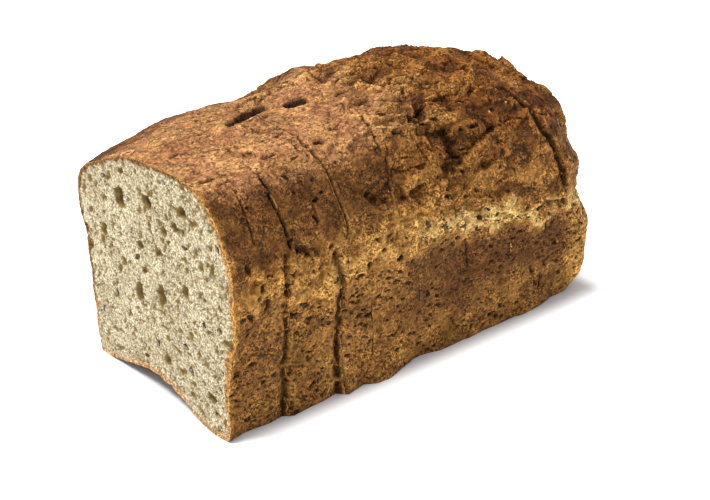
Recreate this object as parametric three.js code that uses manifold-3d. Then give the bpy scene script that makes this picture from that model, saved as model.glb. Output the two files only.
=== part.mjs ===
// A ready-sliced tin loaf of flaxseed bread. Its slices and end piece still stand together in the
// shape of the whole loaf, with the pale cut face of the first slice in front.
// Millimetres, +Z up. The loaf is worked out along +Y with that cut face at y = 0 and x = 0 over the
// middle of the base, and the finished group is moved so that the origin lies under its middle.
import * as THREE from 'three';
import { mergeVertices } from 'three/addons/utils/BufferGeometryUtils.js';
import loadManifold from 'manifold-3d';

// Driving sizes along the loaf. Each table pairs a place along the loaf with the size there.
const CREST = [
  [0, 98], [30, 99], [60, 101.5], [90, 105], [118, 106.3], [136, 104.7], [146, 102.4],
  [152, 100.4], [158, 98.9], [164, 92.8], [170, 89], [176, 86], [182, 84], [190, 77],
];
const RIM_RIGHT = [[0, 31], [10, 40], [25, 49], [60, 48], [130, 46], [160, 38], [187, 34]];
const TEAR_RIGHT = [[0, 43], [10, 56], [25, 66], [60, 65], [110, 62], [150, 54], [175, 50], [187, 50]];
const RIM_LEFT = [[0, 47], [60, 48], [130, 46], [160, 38], [187, 34]];
const TEAR_LEFT = [[0, 61], [60, 64], [110, 62], [150, 54], [175, 50], [187, 50]];
const LIFT_LEFT = [
  [0, 0], [15, 2.8], [32, 5.2], [50, 4.8], [62, 3], [75, 0.8], [85, 1.2], [97, 3],
  [108, 1.5], [120, 0], [140, 1.5], [165, 2.5], [190, 2.5],
];
const BASE_RIGHT = [[0, 41], [45, 41.3], [70, 43], [90, 42.3], [105, 41], [140, 41.8], [187, 41]];
const BASE_LEFT = 43.9;

// The far end: how far it reaches at each height, and the radius of its corners seen from above.
const END_REACH = [
  [0, 182.5], [5, 186], [12, 188.2], [24, 188.6], [32, 188], [38, 184.4], [43, 180.9],
  [48, 181.4], [56, 184.6], [66, 183.8], [74, 185.9], [80, 186.3], [86, 179.5], [94, 171],
];
const END_CORNER = [
  [0, 14], [12, 11.5], [30, 12], [42, 15], [50, 23.5], [60, 23.5], [72, 26.5], [84, 29], [96, 32],
];
const END_EDGE = 6;
const END_PLACE = 188;

// The section: the wall leans out from the foot to the rim of the tin, a torn band follows, then the dome.
const WALL_FLARE = 0.06;
const WALL_SLACK_LEFT = 0.6;
const FOOT_RADIUS = 2;
const FOOT_FLAT = 5;
const ARCH = [[-25, 2.8], [-10, 4.6], [8, 3.7], [24, 1.4]];
const DOME_RIGHT = 47.4;
const DOME_LEFT = 53;
const DOME = [
  { across: 43.8, drop: 22, lift: 0 }, { across: 36.6, drop: 9.6, lift: 0 },
  { across: 26, drop: 1.8, lift: 0 }, { across: 10, drop: 0, lift: 0 },
  { across: -9, drop: 1.6, lift: 0.25 }, { across: -28, drop: 7.6, lift: 0.7 },
  { across: -41, drop: 14, lift: 0.95 }, { across: -49, drop: 18.8, lift: 1 },
  { across: -53.2, drop: 26, lift: 0.6 },
];

// The knife cuts, as places along the loaf at the height KNIFE_HEIGHT. Behind the widest gap the
// slices lean forward a little, and the end piece leans back.
const CUTS = [14.5, 26.5, 39.5, 52.5, 66.5, 80.5, 91, 101.5, 113.5, 126, 138.5, 151.5, 164];
const HAIRLINE = 0.4;
const WIDE_GAPS = new Map([[26.5, 0.9], [52.5, 2.4], [164, 1]]);
const LEAN = [[0, 0], [52, 0], [53.5, -0.025], [80, -0.08], [125, -0.08], [164, 0.02], [190, 0]];
const END_PIECE_LEAN = 0.05;
const KNIFE_HEIGHT = 20;

// Crust relief: soft lumps everywhere, rougher ones on the far half of the dome, and single crags.
// A crag is a furrow or pit that follows a line on the crust. Relief fades out at the foot.
const LUMPS = { cell: 17, wall: 0.3, dome: 0.7 };
const CRAGGY = { cell: 7.5, height: 0.8, from: 40, to: 110 };
const DOME_STARTS = { from: 55, to: 80 };
const FOOT_FADE = 8;
const CRAGS = [
  { from: [-7, 37, 99], to: [-9, 56, 101], width: 4.5, depth: 5 },
  { from: [-3, 61, 102], to: [-1, 68, 103], width: 4.5, depth: 4.5 },
  { from: [-22, 53, 98], to: [-25, 64, 97], width: 3.5, depth: 2.5 },
  { from: [-19, 61, 99], to: [-23, 70, 98], width: 3.5, depth: 3 },
  { from: [-41, 12, 87], to: [-39, 19, 89], width: 3, depth: 1.6 },
  { from: [16, 30, 99], to: [16, 30, 99], width: 6, depth: 1.8 },
  { from: [14, 8, 98], to: [14, 8, 98], width: 5, depth: 1.4 },
  { from: [28, 33, 96], to: [31, 37, 95], width: 4, depth: 1.6 },
  { from: [1, 92, 106], to: [5, 98, 106], width: 4, depth: 2.2 },
  { from: [9, 96, 106], to: [15, 102, 106], width: 4, depth: 3 },
  { from: [15, 76, 104], to: [17, 85, 105], width: 4, depth: 2 },
  { from: [29, 102, 103], to: [34, 100, 99], width: 5, depth: 4 },
  { from: [39, 106, 93], to: [42, 106, 88], width: 4, depth: 3.5 },
  { from: [43, 107, 86], to: [45, 109, 82], width: 4, depth: 3.5 },
  { from: [28, 113, 104], to: [33, 114, 100], width: 3.5, depth: 1.8 },
  { from: [42, 127, 87], to: [45, 132, 77], width: 6, depth: 2 },
  { from: [42, 61, 84], to: [43, 66, 83], width: 4, depth: 2.4 },
  { from: [44, 66, 81], to: [45, 71, 78], width: 5, depth: 3 },
  { from: [46, 85, 77], to: [46, 90, 78], width: 3.5, depth: 2.5 },
  { from: [44, 100, 84], to: [45, 106, 81], width: 4, depth: 2 },
  { from: [47, 154, 51], to: [46, 163, 48], width: 4, depth: 2.6 },
  { from: [46, 30, 72], to: [47, 36, 69], width: 4, depth: 2.2 },
  { from: [47, 24, 66], to: [45, 25, 54], width: 3.5, depth: 2.2 },
];

// The largest holes of the crumb in the first cut face: middle across, middle up, width and height.
const PORES = [
  [-24.9, 74.9, 6.5, 9.5], [-6.8, 80, 7.5, 6], [15.6, 84.3, 6.3, 5], [-36.8, 56.6, 4.6, 6],
  [3.5, 72.1, 4.4, 4.2], [10.7, 75.9, 4.4, 4.2], [-13, 59.9, 4.6, 3.8], [-0.5, 61.3, 4.6, 3.8],
  [-14.7, 39.1, 5.4, 8], [0, 43.3, 4.6, 10.6], [16, 52, 3.8, 6], [33.5, 67.8, 3.6, 5],
  [30.6, 13.4, 6, 4.2], [2, 16.9, 4, 5],
];
const PORE_DEPTH_SHARE = 0.75;

// Facets: the length of an outline step on the crust and on the wall and underside, and the number of
// rows of facets along a slice.
const CRUST_STEP = 3.3;
const WALL_STEP = 8;
const ROWS_PER_SLICE = 4;
const END_ROWS = [0, 0.25, 0.5, 0.7, 0.82, 0.91, 0.97, 1];

const BREAD = { color: 0xa8753f, roughness: 0.9, metalness: 0 };

// Value of a table at a place, on a smooth curve through its points.
function curve(table, place) {
  const last = table.length - 1;
  const at = THREE.MathUtils.clamp(place, table[0][0], table[last][0]);
  let i = 0;
  while (i < last - 1 && at >= table[i + 1][0]) i += 1;
  const slope = (k) => {
    const before = table[Math.max(k - 1, 0)];
    const after = table[Math.min(k + 1, last)];
    return (after[1] - before[1]) / (after[0] - before[0]);
  };
  const span = table[i + 1][0] - table[i][0];
  const t = (at - table[i][0]) / span;
  const t2 = t * t;
  const t3 = t2 * t;
  return (2 * t3 - 3 * t2 + 1) * table[i][1] + (t3 - 2 * t2 + t) * span * slope(i)
    + (3 * t2 - 2 * t3) * table[i + 1][1] + (t3 - t2) * span * slope(i + 1);
}

// Smooth random value from -1 to 1 at a point, the same on every run.
function noise(point, cell) {
  const corner = (i, j, k) => {
    const h = Math.sin(i * 127.1 + j * 311.7 + k * 74.7) * 43758.5453;
    return 2 * (h - Math.floor(h)) - 1;
  };
  const place = point.clone().divideScalar(cell);
  const low = place.clone().floor();
  const share = place.sub(low).toArray().map((s) => s * s * (3 - 2 * s));
  const mix = THREE.MathUtils.lerp;
  const line = (j, k) => mix(corner(low.x, low.y + j, low.z + k), corner(low.x + 1, low.y + j, low.z + k), share[0]);
  const plane = (k) => mix(line(0, k), line(1, k), share[1]);
  return mix(plane(0), plane(1), share[2]);
}

// How far the crust stands out from its smooth form at a point.
function relief(point) {
  const dome = THREE.MathUtils.smoothstep(point.z, DOME_STARTS.from, DOME_STARTS.to);
  const craggy = dome * THREE.MathUtils.smoothstep(point.y, CRAGGY.from, CRAGGY.to);
  let height = THREE.MathUtils.lerp(LUMPS.wall, LUMPS.dome, dome) * noise(point, LUMPS.cell);
  height += CRAGGY.height * craggy * noise(point, CRAGGY.cell);
  for (const crag of CRAGS) {
    const line = new THREE.Line3(new THREE.Vector3(...crag.from), new THREE.Vector3(...crag.to));
    const away = line.closestPointToPoint(point, true, new THREE.Vector3()).distanceTo(point);
    height -= crag.depth * (1 - THREE.MathUtils.smoothstep(away, 0, crag.width));
  }
  return height * THREE.MathUtils.smoothstep(point.z, 0, FOOT_FADE);
}

// Wall and torn band of one side, from the foot up, as [across, height].
function sidePoints(base, rim, tear, slack) {
  const wall = base + WALL_FLARE * rim + slack;
  return [
    [base, FOOT_RADIUS],
    [base + 0.45 * WALL_FLARE * rim + slack, 0.45 * rim],
    [wall, rim - 2],
    [wall + 1.2, rim + 0.38 * (tear - rim)],
  ];
}

// Points that the outline of the section at a place runs through, right round from the underside.
function outlinePoints(place) {
  const crest = curve(CREST, place);
  const lift = curve(LIFT_LEFT, place);
  const right = curve(BASE_RIGHT, place);
  const tearRight = curve(TEAR_RIGHT, place);
  const tearLeft = curve(TEAR_LEFT, place);
  const mirror = ([across, height]) => [-across, height];
  const dome = DOME.map((p) => [p.across, crest - p.drop + p.lift * lift]);
  return [
    ...ARCH.slice(1),
    [right - FOOT_RADIUS - FOOT_FLAT, 0], [right - FOOT_RADIUS, 0],
    ...sidePoints(right, curve(RIM_RIGHT, place), tearRight, 0),
    [DOME_RIGHT, tearRight],
    [DOME_RIGHT - 0.8, THREE.MathUtils.lerp(tearRight, dome[0][1], 0.45)],
    ...dome,
    [-DOME_LEFT, tearLeft + 1],
    ...sidePoints(BASE_LEFT, curve(RIM_LEFT, place), tearLeft, WALL_SLACK_LEFT).map(mirror).reverse(),
    [-(BASE_LEFT - FOOT_RADIUS), 0], [-(BASE_LEFT - FOOT_RADIUS - FOOT_FLAT), 0],
    ARCH[0],
  ];
}

// Steps between one outline point and the next, the same in every section so that rows of facets meet.
function outlineSteps() {
  const middle = CUTS[Math.floor(CUTS.length / 2)];
  const points = outlinePoints(middle);
  return points.map(([across, height], i) => {
    const [nextAcross, nextHeight] = points[(i + 1) % points.length];
    const low = Math.max(height, nextHeight) < curve(RIM_RIGHT, middle);
    const chord = Math.hypot(nextAcross - across, nextHeight - height);
    return Math.max(1, Math.round(chord / (low ? WALL_STEP : CRUST_STEP)));
  });
}
const STEPS = outlineSteps();

// Outline of the section at a place, as points with x across and z up.
function outline(place) {
  const points = outlinePoints(place).map(([across, height]) => new THREE.Vector3(across, 0, height));
  const spline = new THREE.CatmullRomCurve3(points, true, 'catmullrom', 0.5);
  return STEPS.flatMap((steps, i) =>
    Array.from({ length: steps }, (_, k) => spline.getPoint((i + k / steps) / points.length)));
}

// Outward directions along a closed outline that runs anticlockwise seen from the front.
function outward(ring) {
  return ring.map((_, i) => {
    const before = ring[(i + ring.length - 1) % ring.length];
    const after = ring[(i + 1) % ring.length];
    return new THREE.Vector3(after.z - before.z, 0, before.x - after.x).normalize();
  });
}

const rounded = (share) => 1 - Math.sqrt(1 - share * share);

// Ring of crust points: the section at a place, with each point's y given by a function of its height.
function crustRing(place, lengthwise, edge = 0) {
  const ring = outline(place);
  const normals = outward(ring);
  return ring.map((point, i) => {
    point.y = lengthwise(point.z);
    const reach = curve(END_REACH, point.z);
    const corner = curve(END_CORNER, point.z);
    const round = THREE.MathUtils.clamp((point.y - reach + corner) / corner, 0, 1);
    point.x *= 1 - corner * rounded(round) / DOME_RIGHT;
    const tuck = edge * rounded(THREE.MathUtils.clamp((point.y - reach + edge) / (edge || 1), 0, 1));
    point.addScaledVector(normals[i], relief(point) - tuck);
    point.z = Math.max(point.z, 0);
    point.y = lengthwise(point.z);
    return point;
  });
}

// Closed geometry through a row of rings, with its two end faces as triples of ring indices.
function loft(rings, frontFace, backFace) {
  const n = rings[0].length;
  const index = [...frontFace];
  for (let row = 0; row + 1 < rings.length; row += 1) {
    for (let i = 0; i < n; i += 1) {
      const a = row * n + i;
      const b = row * n + (i + 1) % n;
      index.push(a, a + n, b, b, a + n, b + n);
    }
  }
  const last = (rings.length - 1) * n;
  for (let i = 0; i < backFace.length; i += 3) {
    index.push(last + backFace[i], last + backFace[i + 2], last + backFace[i + 1]);
  }
  const geometry = new THREE.BufferGeometry().setFromPoints(rings.flat());
  geometry.setIndex(index);
  return geometry;
}

// Triangles of a flat cut face, facing the front.
function cutFace(ring) {
  const contour = ring.map((point) => new THREE.Vector2(point.x, point.z));
  return THREE.ShapeUtils.triangulateShape(contour, []).flat();
}

// Triangles of the far end face, as strips between its right and left edges so that it follows END_REACH.
function endFace(ring) {
  const n = ring.length;
  const top = ring.reduce((best, point, i) => (point.z > ring[best].z ? i : best), 0);
  const faces = [];
  let right = 0;
  let left = n;
  while (left - right > 1) {
    const climbRight = right < top && (left - 1 < top || ring[right + 1].z <= ring[left - 1].z);
    const next = climbRight ? right + 1 : left - 1;
    if (next % n !== right % n && next % n !== left % n && right % n !== left % n) {
      faces.push(right % n, next % n, left % n);
    }
    if (climbRight) right = next;
    else left = next;
  }
  return faces;
}

const gapAt = (cut) => WIDE_GAPS.get(cut) ?? HAIRLINE;

// One slice between two places along the loaf.
function sliceGeometry(front, back) {
  const rings = Array.from({ length: ROWS_PER_SLICE + 1 }, (_, row) => {
    const place = THREE.MathUtils.lerp(front, back, row / ROWS_PER_SLICE);
    return crustRing(place, (height) => place + curve(LEAN, place) * (height - KNIFE_HEIGHT));
  });
  return loft(rings, cutFace(rings[0]), cutFace(rings[ROWS_PER_SLICE]));
}

// The end piece, from its cut face to the rounded end of the loaf.
function endPieceGeometry(front) {
  const rings = END_ROWS.map((share) => {
    const place = THREE.MathUtils.lerp(front, END_PLACE, share);
    const start = (height) => front + END_PIECE_LEAN * (height - KNIFE_HEIGHT);
    const lengthwise = (height) => THREE.MathUtils.lerp(start(height), curve(END_REACH, height), share);
    return crustRing(place, lengthwise, END_EDGE);
  });
  return loft(rings, cutFace(rings[0]), endFace(rings[rings.length - 1]));
}

const wasm = await loadManifold();
wasm.setup();

function toManifold(geometry) {
  const bare = geometry.clone();
  bare.deleteAttribute('normal');
  bare.deleteAttribute('uv');
  const merged = mergeVertices(bare);
  const vertProperties = new Float32Array(merged.attributes.position.array);
  const triVerts = new Uint32Array(merged.index.array);
  return new wasm.Manifold(new wasm.Mesh({ numProp: 3, vertProperties, triVerts }));
}

function toGeometry(solid) {
  const mesh = solid.getMesh();
  const geometry = new THREE.BufferGeometry();
  geometry.setAttribute('position', new THREE.BufferAttribute(mesh.vertProperties, 3));
  geometry.setIndex(new THREE.BufferAttribute(mesh.triVerts, 1));
  return geometry;
}

// The same solid with the large holes of the crumb sunk into its front face.
function cutPores(geometry) {
  let solid = toManifold(geometry);
  for (const [across, height, width, tall] of PORES) {
    const pore = new THREE.SphereGeometry(0.5, 9, 6);
    pore.scale(width, 2 * PORE_DEPTH_SHARE * Math.min(width, tall), tall);
    pore.translate(across, 0, height);
    solid = solid.subtract(toManifold(pore));
  }
  return toGeometry(solid);
}

function piece(name, geometry, front) {
  const mesh = new THREE.Mesh(geometry.translate(0, -front, 0), new THREE.MeshStandardMaterial(BREAD));
  mesh.name = name;
  mesh.position.y = front;
  geometry.computeVertexNormals();
  return mesh;
}

function loaf() {
  const group = new THREE.Group();
  const edges = [0, ...CUTS];
  CUTS.forEach((cut, i) => {
    const front = i === 0 ? 0 : edges[i] + gapAt(edges[i]) / 2;
    const back = cut - gapAt(cut) / 2;
    const geometry = sliceGeometry(front, back);
    const name = `slice_${String(i + 1).padStart(2, '0')}`;
    group.add(piece(name, i === 0 ? cutPores(geometry) : geometry, front));
  });
  const lastCut = CUTS[CUTS.length - 1];
  const front = lastCut + gapAt(lastCut) / 2;
  group.add(piece('end_piece', endPieceGeometry(front), front));
  const box = new THREE.Box3().setFromObject(group);
  const middle = box.getCenter(new THREE.Vector3());
  group.position.set(-middle.x, -middle.y, -box.min.z);
  return group;
}

export default loaf();
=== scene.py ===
"""Looks of a ready-sliced tin loaf of flaxseed bread.

Every slice and the end piece is a fine mesh over the same form as its solid: crust with folds, crags,
a torn band and pinholes, and cut faces with open crumb. Flaxseeds and loose crumbs are small meshes.
The form is worked out in millimetres with the first cut face at y = 0, then placed in the frame.
"""
import math

import bpy
import numpy as np
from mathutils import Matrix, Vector


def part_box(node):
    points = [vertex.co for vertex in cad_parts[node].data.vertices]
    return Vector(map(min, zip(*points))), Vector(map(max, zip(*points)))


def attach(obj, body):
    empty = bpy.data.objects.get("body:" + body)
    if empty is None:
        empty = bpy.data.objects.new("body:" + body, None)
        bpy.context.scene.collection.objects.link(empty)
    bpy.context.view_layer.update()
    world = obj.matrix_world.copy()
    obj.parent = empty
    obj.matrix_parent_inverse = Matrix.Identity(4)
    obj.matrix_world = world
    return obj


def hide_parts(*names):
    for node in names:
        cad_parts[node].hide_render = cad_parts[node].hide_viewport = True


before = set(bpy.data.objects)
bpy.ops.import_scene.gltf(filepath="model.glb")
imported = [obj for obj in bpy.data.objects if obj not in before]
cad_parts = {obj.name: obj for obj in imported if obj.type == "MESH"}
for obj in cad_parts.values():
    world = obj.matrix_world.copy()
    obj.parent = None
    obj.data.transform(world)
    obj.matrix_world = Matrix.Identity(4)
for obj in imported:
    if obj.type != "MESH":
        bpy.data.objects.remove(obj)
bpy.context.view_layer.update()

MM = 0.001

# Place of the loaf in the frame: its first cut face, and the middle of its base across.
LOAF_SHIFT = np.array([3.198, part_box("slice_01")[0][1] / MM, 0.0])

# Form along the loaf: pairs of a place along it and the size there.
CREST = [(0, 98), (30, 99), (60, 101.5), (90, 105), (118, 106.3), (136, 104.7), (146, 102.4),
         (152, 100.4), (158, 98.9), (164, 92.8), (170, 89), (176, 86), (182, 84), (190, 77)]
RIM_RIGHT = [(0, 31), (10, 40), (25, 49), (60, 48), (130, 46), (160, 38), (187, 34)]
TEAR_RIGHT = [(0, 43), (10, 56), (25, 66), (60, 65), (110, 62), (150, 54), (175, 50), (187, 50)]
RIM_LEFT = [(0, 47), (60, 48), (130, 46), (160, 38), (187, 34)]
TEAR_LEFT = [(0, 61), (60, 64), (110, 62), (150, 54), (175, 50), (187, 50)]
LIFT_LEFT = [(0, 0), (15, 2.8), (32, 5.2), (50, 4.8), (62, 3), (75, 0.8), (85, 1.2), (97, 3),
             (108, 1.5), (120, 0), (140, 1.5), (165, 2.5), (190, 2.5)]
BASE_RIGHT = [(0, 41), (45, 41.3), (70, 43), (90, 42.3), (105, 41), (140, 41.8), (187, 41)]
BASE_LEFT = 43.9

# Looks: where the torn band starts and stops up the right side, and how far across the top crust reaches.
BAND_LOW = [(0, 52), (15, 54), (30, 49), (40, 46.5), (51, 47.5), (57, 51), (75, 50.5), (98, 54), (112, 49),
            (128, 48.5), (141, 46), (151, 41), (160, 44), (187, 38)]
BAND_HIGH = [(0, 66), (14, 72), (26, 74), (43, 71), (54, 70), (83, 69), (96, 68), (115, 65), (128, 63),
             (143, 57), (158, 51), (187, 49)]
SHOULDER = [(0, 31), (40, 33), (55, 37), (190, 38)]

# Spans over which a kind of crust sets in or fades out: along the loaf, up it, or below its crest.
TOP_BELOW_CREST = (-13, -3.5)
FAR_ALONG = (58, 96)
PALE_ALONG = (16, 46)
PALE_FULL_ALONG = (80, 100)
GOLD_ALONG = (50, 54)
GOLD_UP = (70, 86)
DIM_ALONG = (66, 106)
DIM_UP = (8, 32)
DIM_FRONT_ALONG = (8, 32)
END_ALONG = (166, 180)

# The far end: its reach and the radius of its corners, by height.
END_REACH = [(0, 182.5), (5, 186), (12, 188.2), (24, 188.6), (32, 188), (38, 184.4), (43, 180.9),
             (48, 181.4), (56, 184.6), (66, 183.8), (74, 185.9), (80, 186.3), (86, 179.5), (94, 171)]
END_CORNER = [(0, 14), (12, 11.5), (30, 12), (42, 15), (50, 23.5), (60, 23.5), (72, 26.5), (84, 29),
              (96, 32)]
END_EDGE = 6
END_PLACE = 188

# The section: wall, torn band and dome.
WALL_FLARE = 0.06
WALL_SLACK_LEFT = 0.6
FOOT_RADIUS = 2
FOOT_FLAT = 5
ARCH = [(-25, 3.2), (-9, 6.6), (8, 4.3), (20, 0.5)]
DOME_RIGHT = 47.4
DOME_LEFT = 53
DOME = [(43.8, 22, 0), (36.6, 9.6, 0), (26, 1.8, 0), (10, 0, 0), (-9, 1.6, 0.25), (-28, 7.6, 0.7),
        (-41, 14, 0.95), (-49, 18.8, 1), (-53.2, 26, 0.6)]
FACE_MIDDLE = (-3.0, 48.0)

# Knife cuts at the height KNIFE_HEIGHT, with their gaps and the lean of the slices.
CUTS = [14.5, 26.5, 39.5, 52.5, 66.5, 80.5, 91, 101.5, 113.5, 126, 138.5, 151.5, 164]
HAIRLINE = 0.4
WIDE_GAPS = {26.5: 0.9, 52.5: 2.4, 164: 1}
LEAN = [(0, 0), (52, 0), (53.5, -0.025), (80, -0.08), (125, -0.08), (164, 0.02), (190, 0)]
END_PIECE_LEAN = 0.05
KNIFE_HEIGHT = 20

# Large relief of the crust, as in the solids.
LUMP_CELL = 17
LUMP_WALL = 0.3
LUMP_DOME = 0.7
CRAGGY_CELL = 7.5
CRAGGY_HEIGHT = 0.8
CRAGGY_FROM = 40
CRAGGY_TO = 110
DOME_FROM = 55
DOME_TO = 80
FOOT_FADE = 8
CRAGS = [
    ((-7.5, 38, 99), (-8, 43, 99.6), 2.8, 3), ((-8.2, 44, 99.7), (-9.2, 55.5, 101), 4.6, 5),
    ((-2, 64.2, 102.2), (-0.6, 68.2, 103), 4.4, 4.5), ((-22, 53, 98), (-25, 64, 97), 3.5, 2.5),
    ((-19, 61, 99), (-23, 70, 98), 3.5, 3), ((-41, 12, 87), (-39, 19, 89), 3, 1.6),
    ((16, 30, 99), (16, 30, 99), 6, 1.8), ((14, 8, 98), (14, 8, 98), 5, 1.4),
    ((28, 33, 96), (31, 37, 95), 4, 1.6), ((1, 92, 106), (5, 98, 106), 4, 2.2),
    ((9, 96, 106), (15, 102, 106), 4, 3), ((15, 76, 104), (17, 85, 105), 4, 2),
    ((29, 102, 103), (34, 100, 99), 5, 4), ((39, 106, 93), (42, 106, 88), 4, 3.5),
    ((43, 107, 86), (45, 109, 82), 4, 3.5), ((28, 113, 104), (33, 114, 100), 3.5, 1.8),
    ((42, 127, 87), (45, 132, 77), 6, 2), ((42, 61, 84), (43, 66, 83), 4, 1.8),
    ((44, 66, 81), (45, 71, 78), 5, 2.2), ((46, 85, 77), (46, 90, 78), 3.5, 2.5),
    ((44, 100, 84), (45, 106, 81), 4, 2), ((47, 154, 51), (46, 163, 48), 4, 2.6),
    ((46, 30, 72), (47, 36, 69), 4, 2.2), ((47, 24, 66), (45, 25, 54), 3.5, 2.2),
]

# Low swells and dips of the outline: a place, a radius and a height.
SWELLS = [
    ((34, 173, 78), 10, -3.4), ((23, 156, 98), 10, -4.8), ((10, 158, 99), 8, -1),
    ((0, 157, 99), 8, -0.9), ((-9, 140, 102), 10, -3.5), ((-16, 133, 102), 9, -2.2),
    ((-39, 128, 93), 8, 0.8), ((-32, 114, 96), 11, -3.6), ((-30, 91, 99), 8, 1.8),
    ((-37, 90, 97), 8, 0.5), ((-41, 80, 92), 8, -2.9), ((-44, 34, 88), 14, 0.9),
    ((-45, 8, 83), 12, 0.8), ((-48, 0, 46), 22, 1.8), ((-45, 0, 8), 12, 1.2), ((40, 179, 39), 8, 0.9),
    ((46, 169, 53), 7, -0.8), ((39, 177, 60), 8, 0.4), ((40, 171, 70), 7, 0.3), ((40, 118, 91), 8, 2.2),
    ((-44, 20, 87), 8, -0.9), ((-40, 53, 91), 7, 0.7),
]

# Larger holes of the crumb in the first cut face: their places across and up, their widths and heights.
PORES = [
    (-24.9, 74.9, 6.5, 9.5), (-6.8, 80, 7.5, 6), (15.6, 84.3, 6.3, 5), (-36.8, 56.6, 4.6, 6),
    (3.5, 72.1, 4.4, 4.2), (10.7, 75.9, 4.4, 4.2), (-13, 59.9, 4.6, 3.8), (-0.5, 61.3, 4.6, 3.8),
    (-14.7, 39.1, 5.4, 8), (0, 43.3, 4.6, 10.6), (16, 52, 3.8, 6), (33.5, 67.8, 3.6, 5),
    (30.6, 13.4, 6, 4.2), (2, 16.9, 4, 5),
]
SMALLER_PORES = [
    (-10.5, 49.9, 4.1, 2.7), (-34.7, 71.1, 3.5, 2.2), (-23.2, 86.4, 4.1, 2.6), (37.2, 44.6, 3.1, 3),
]
PORE_DEPTH_SHARE = 0.75

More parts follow.
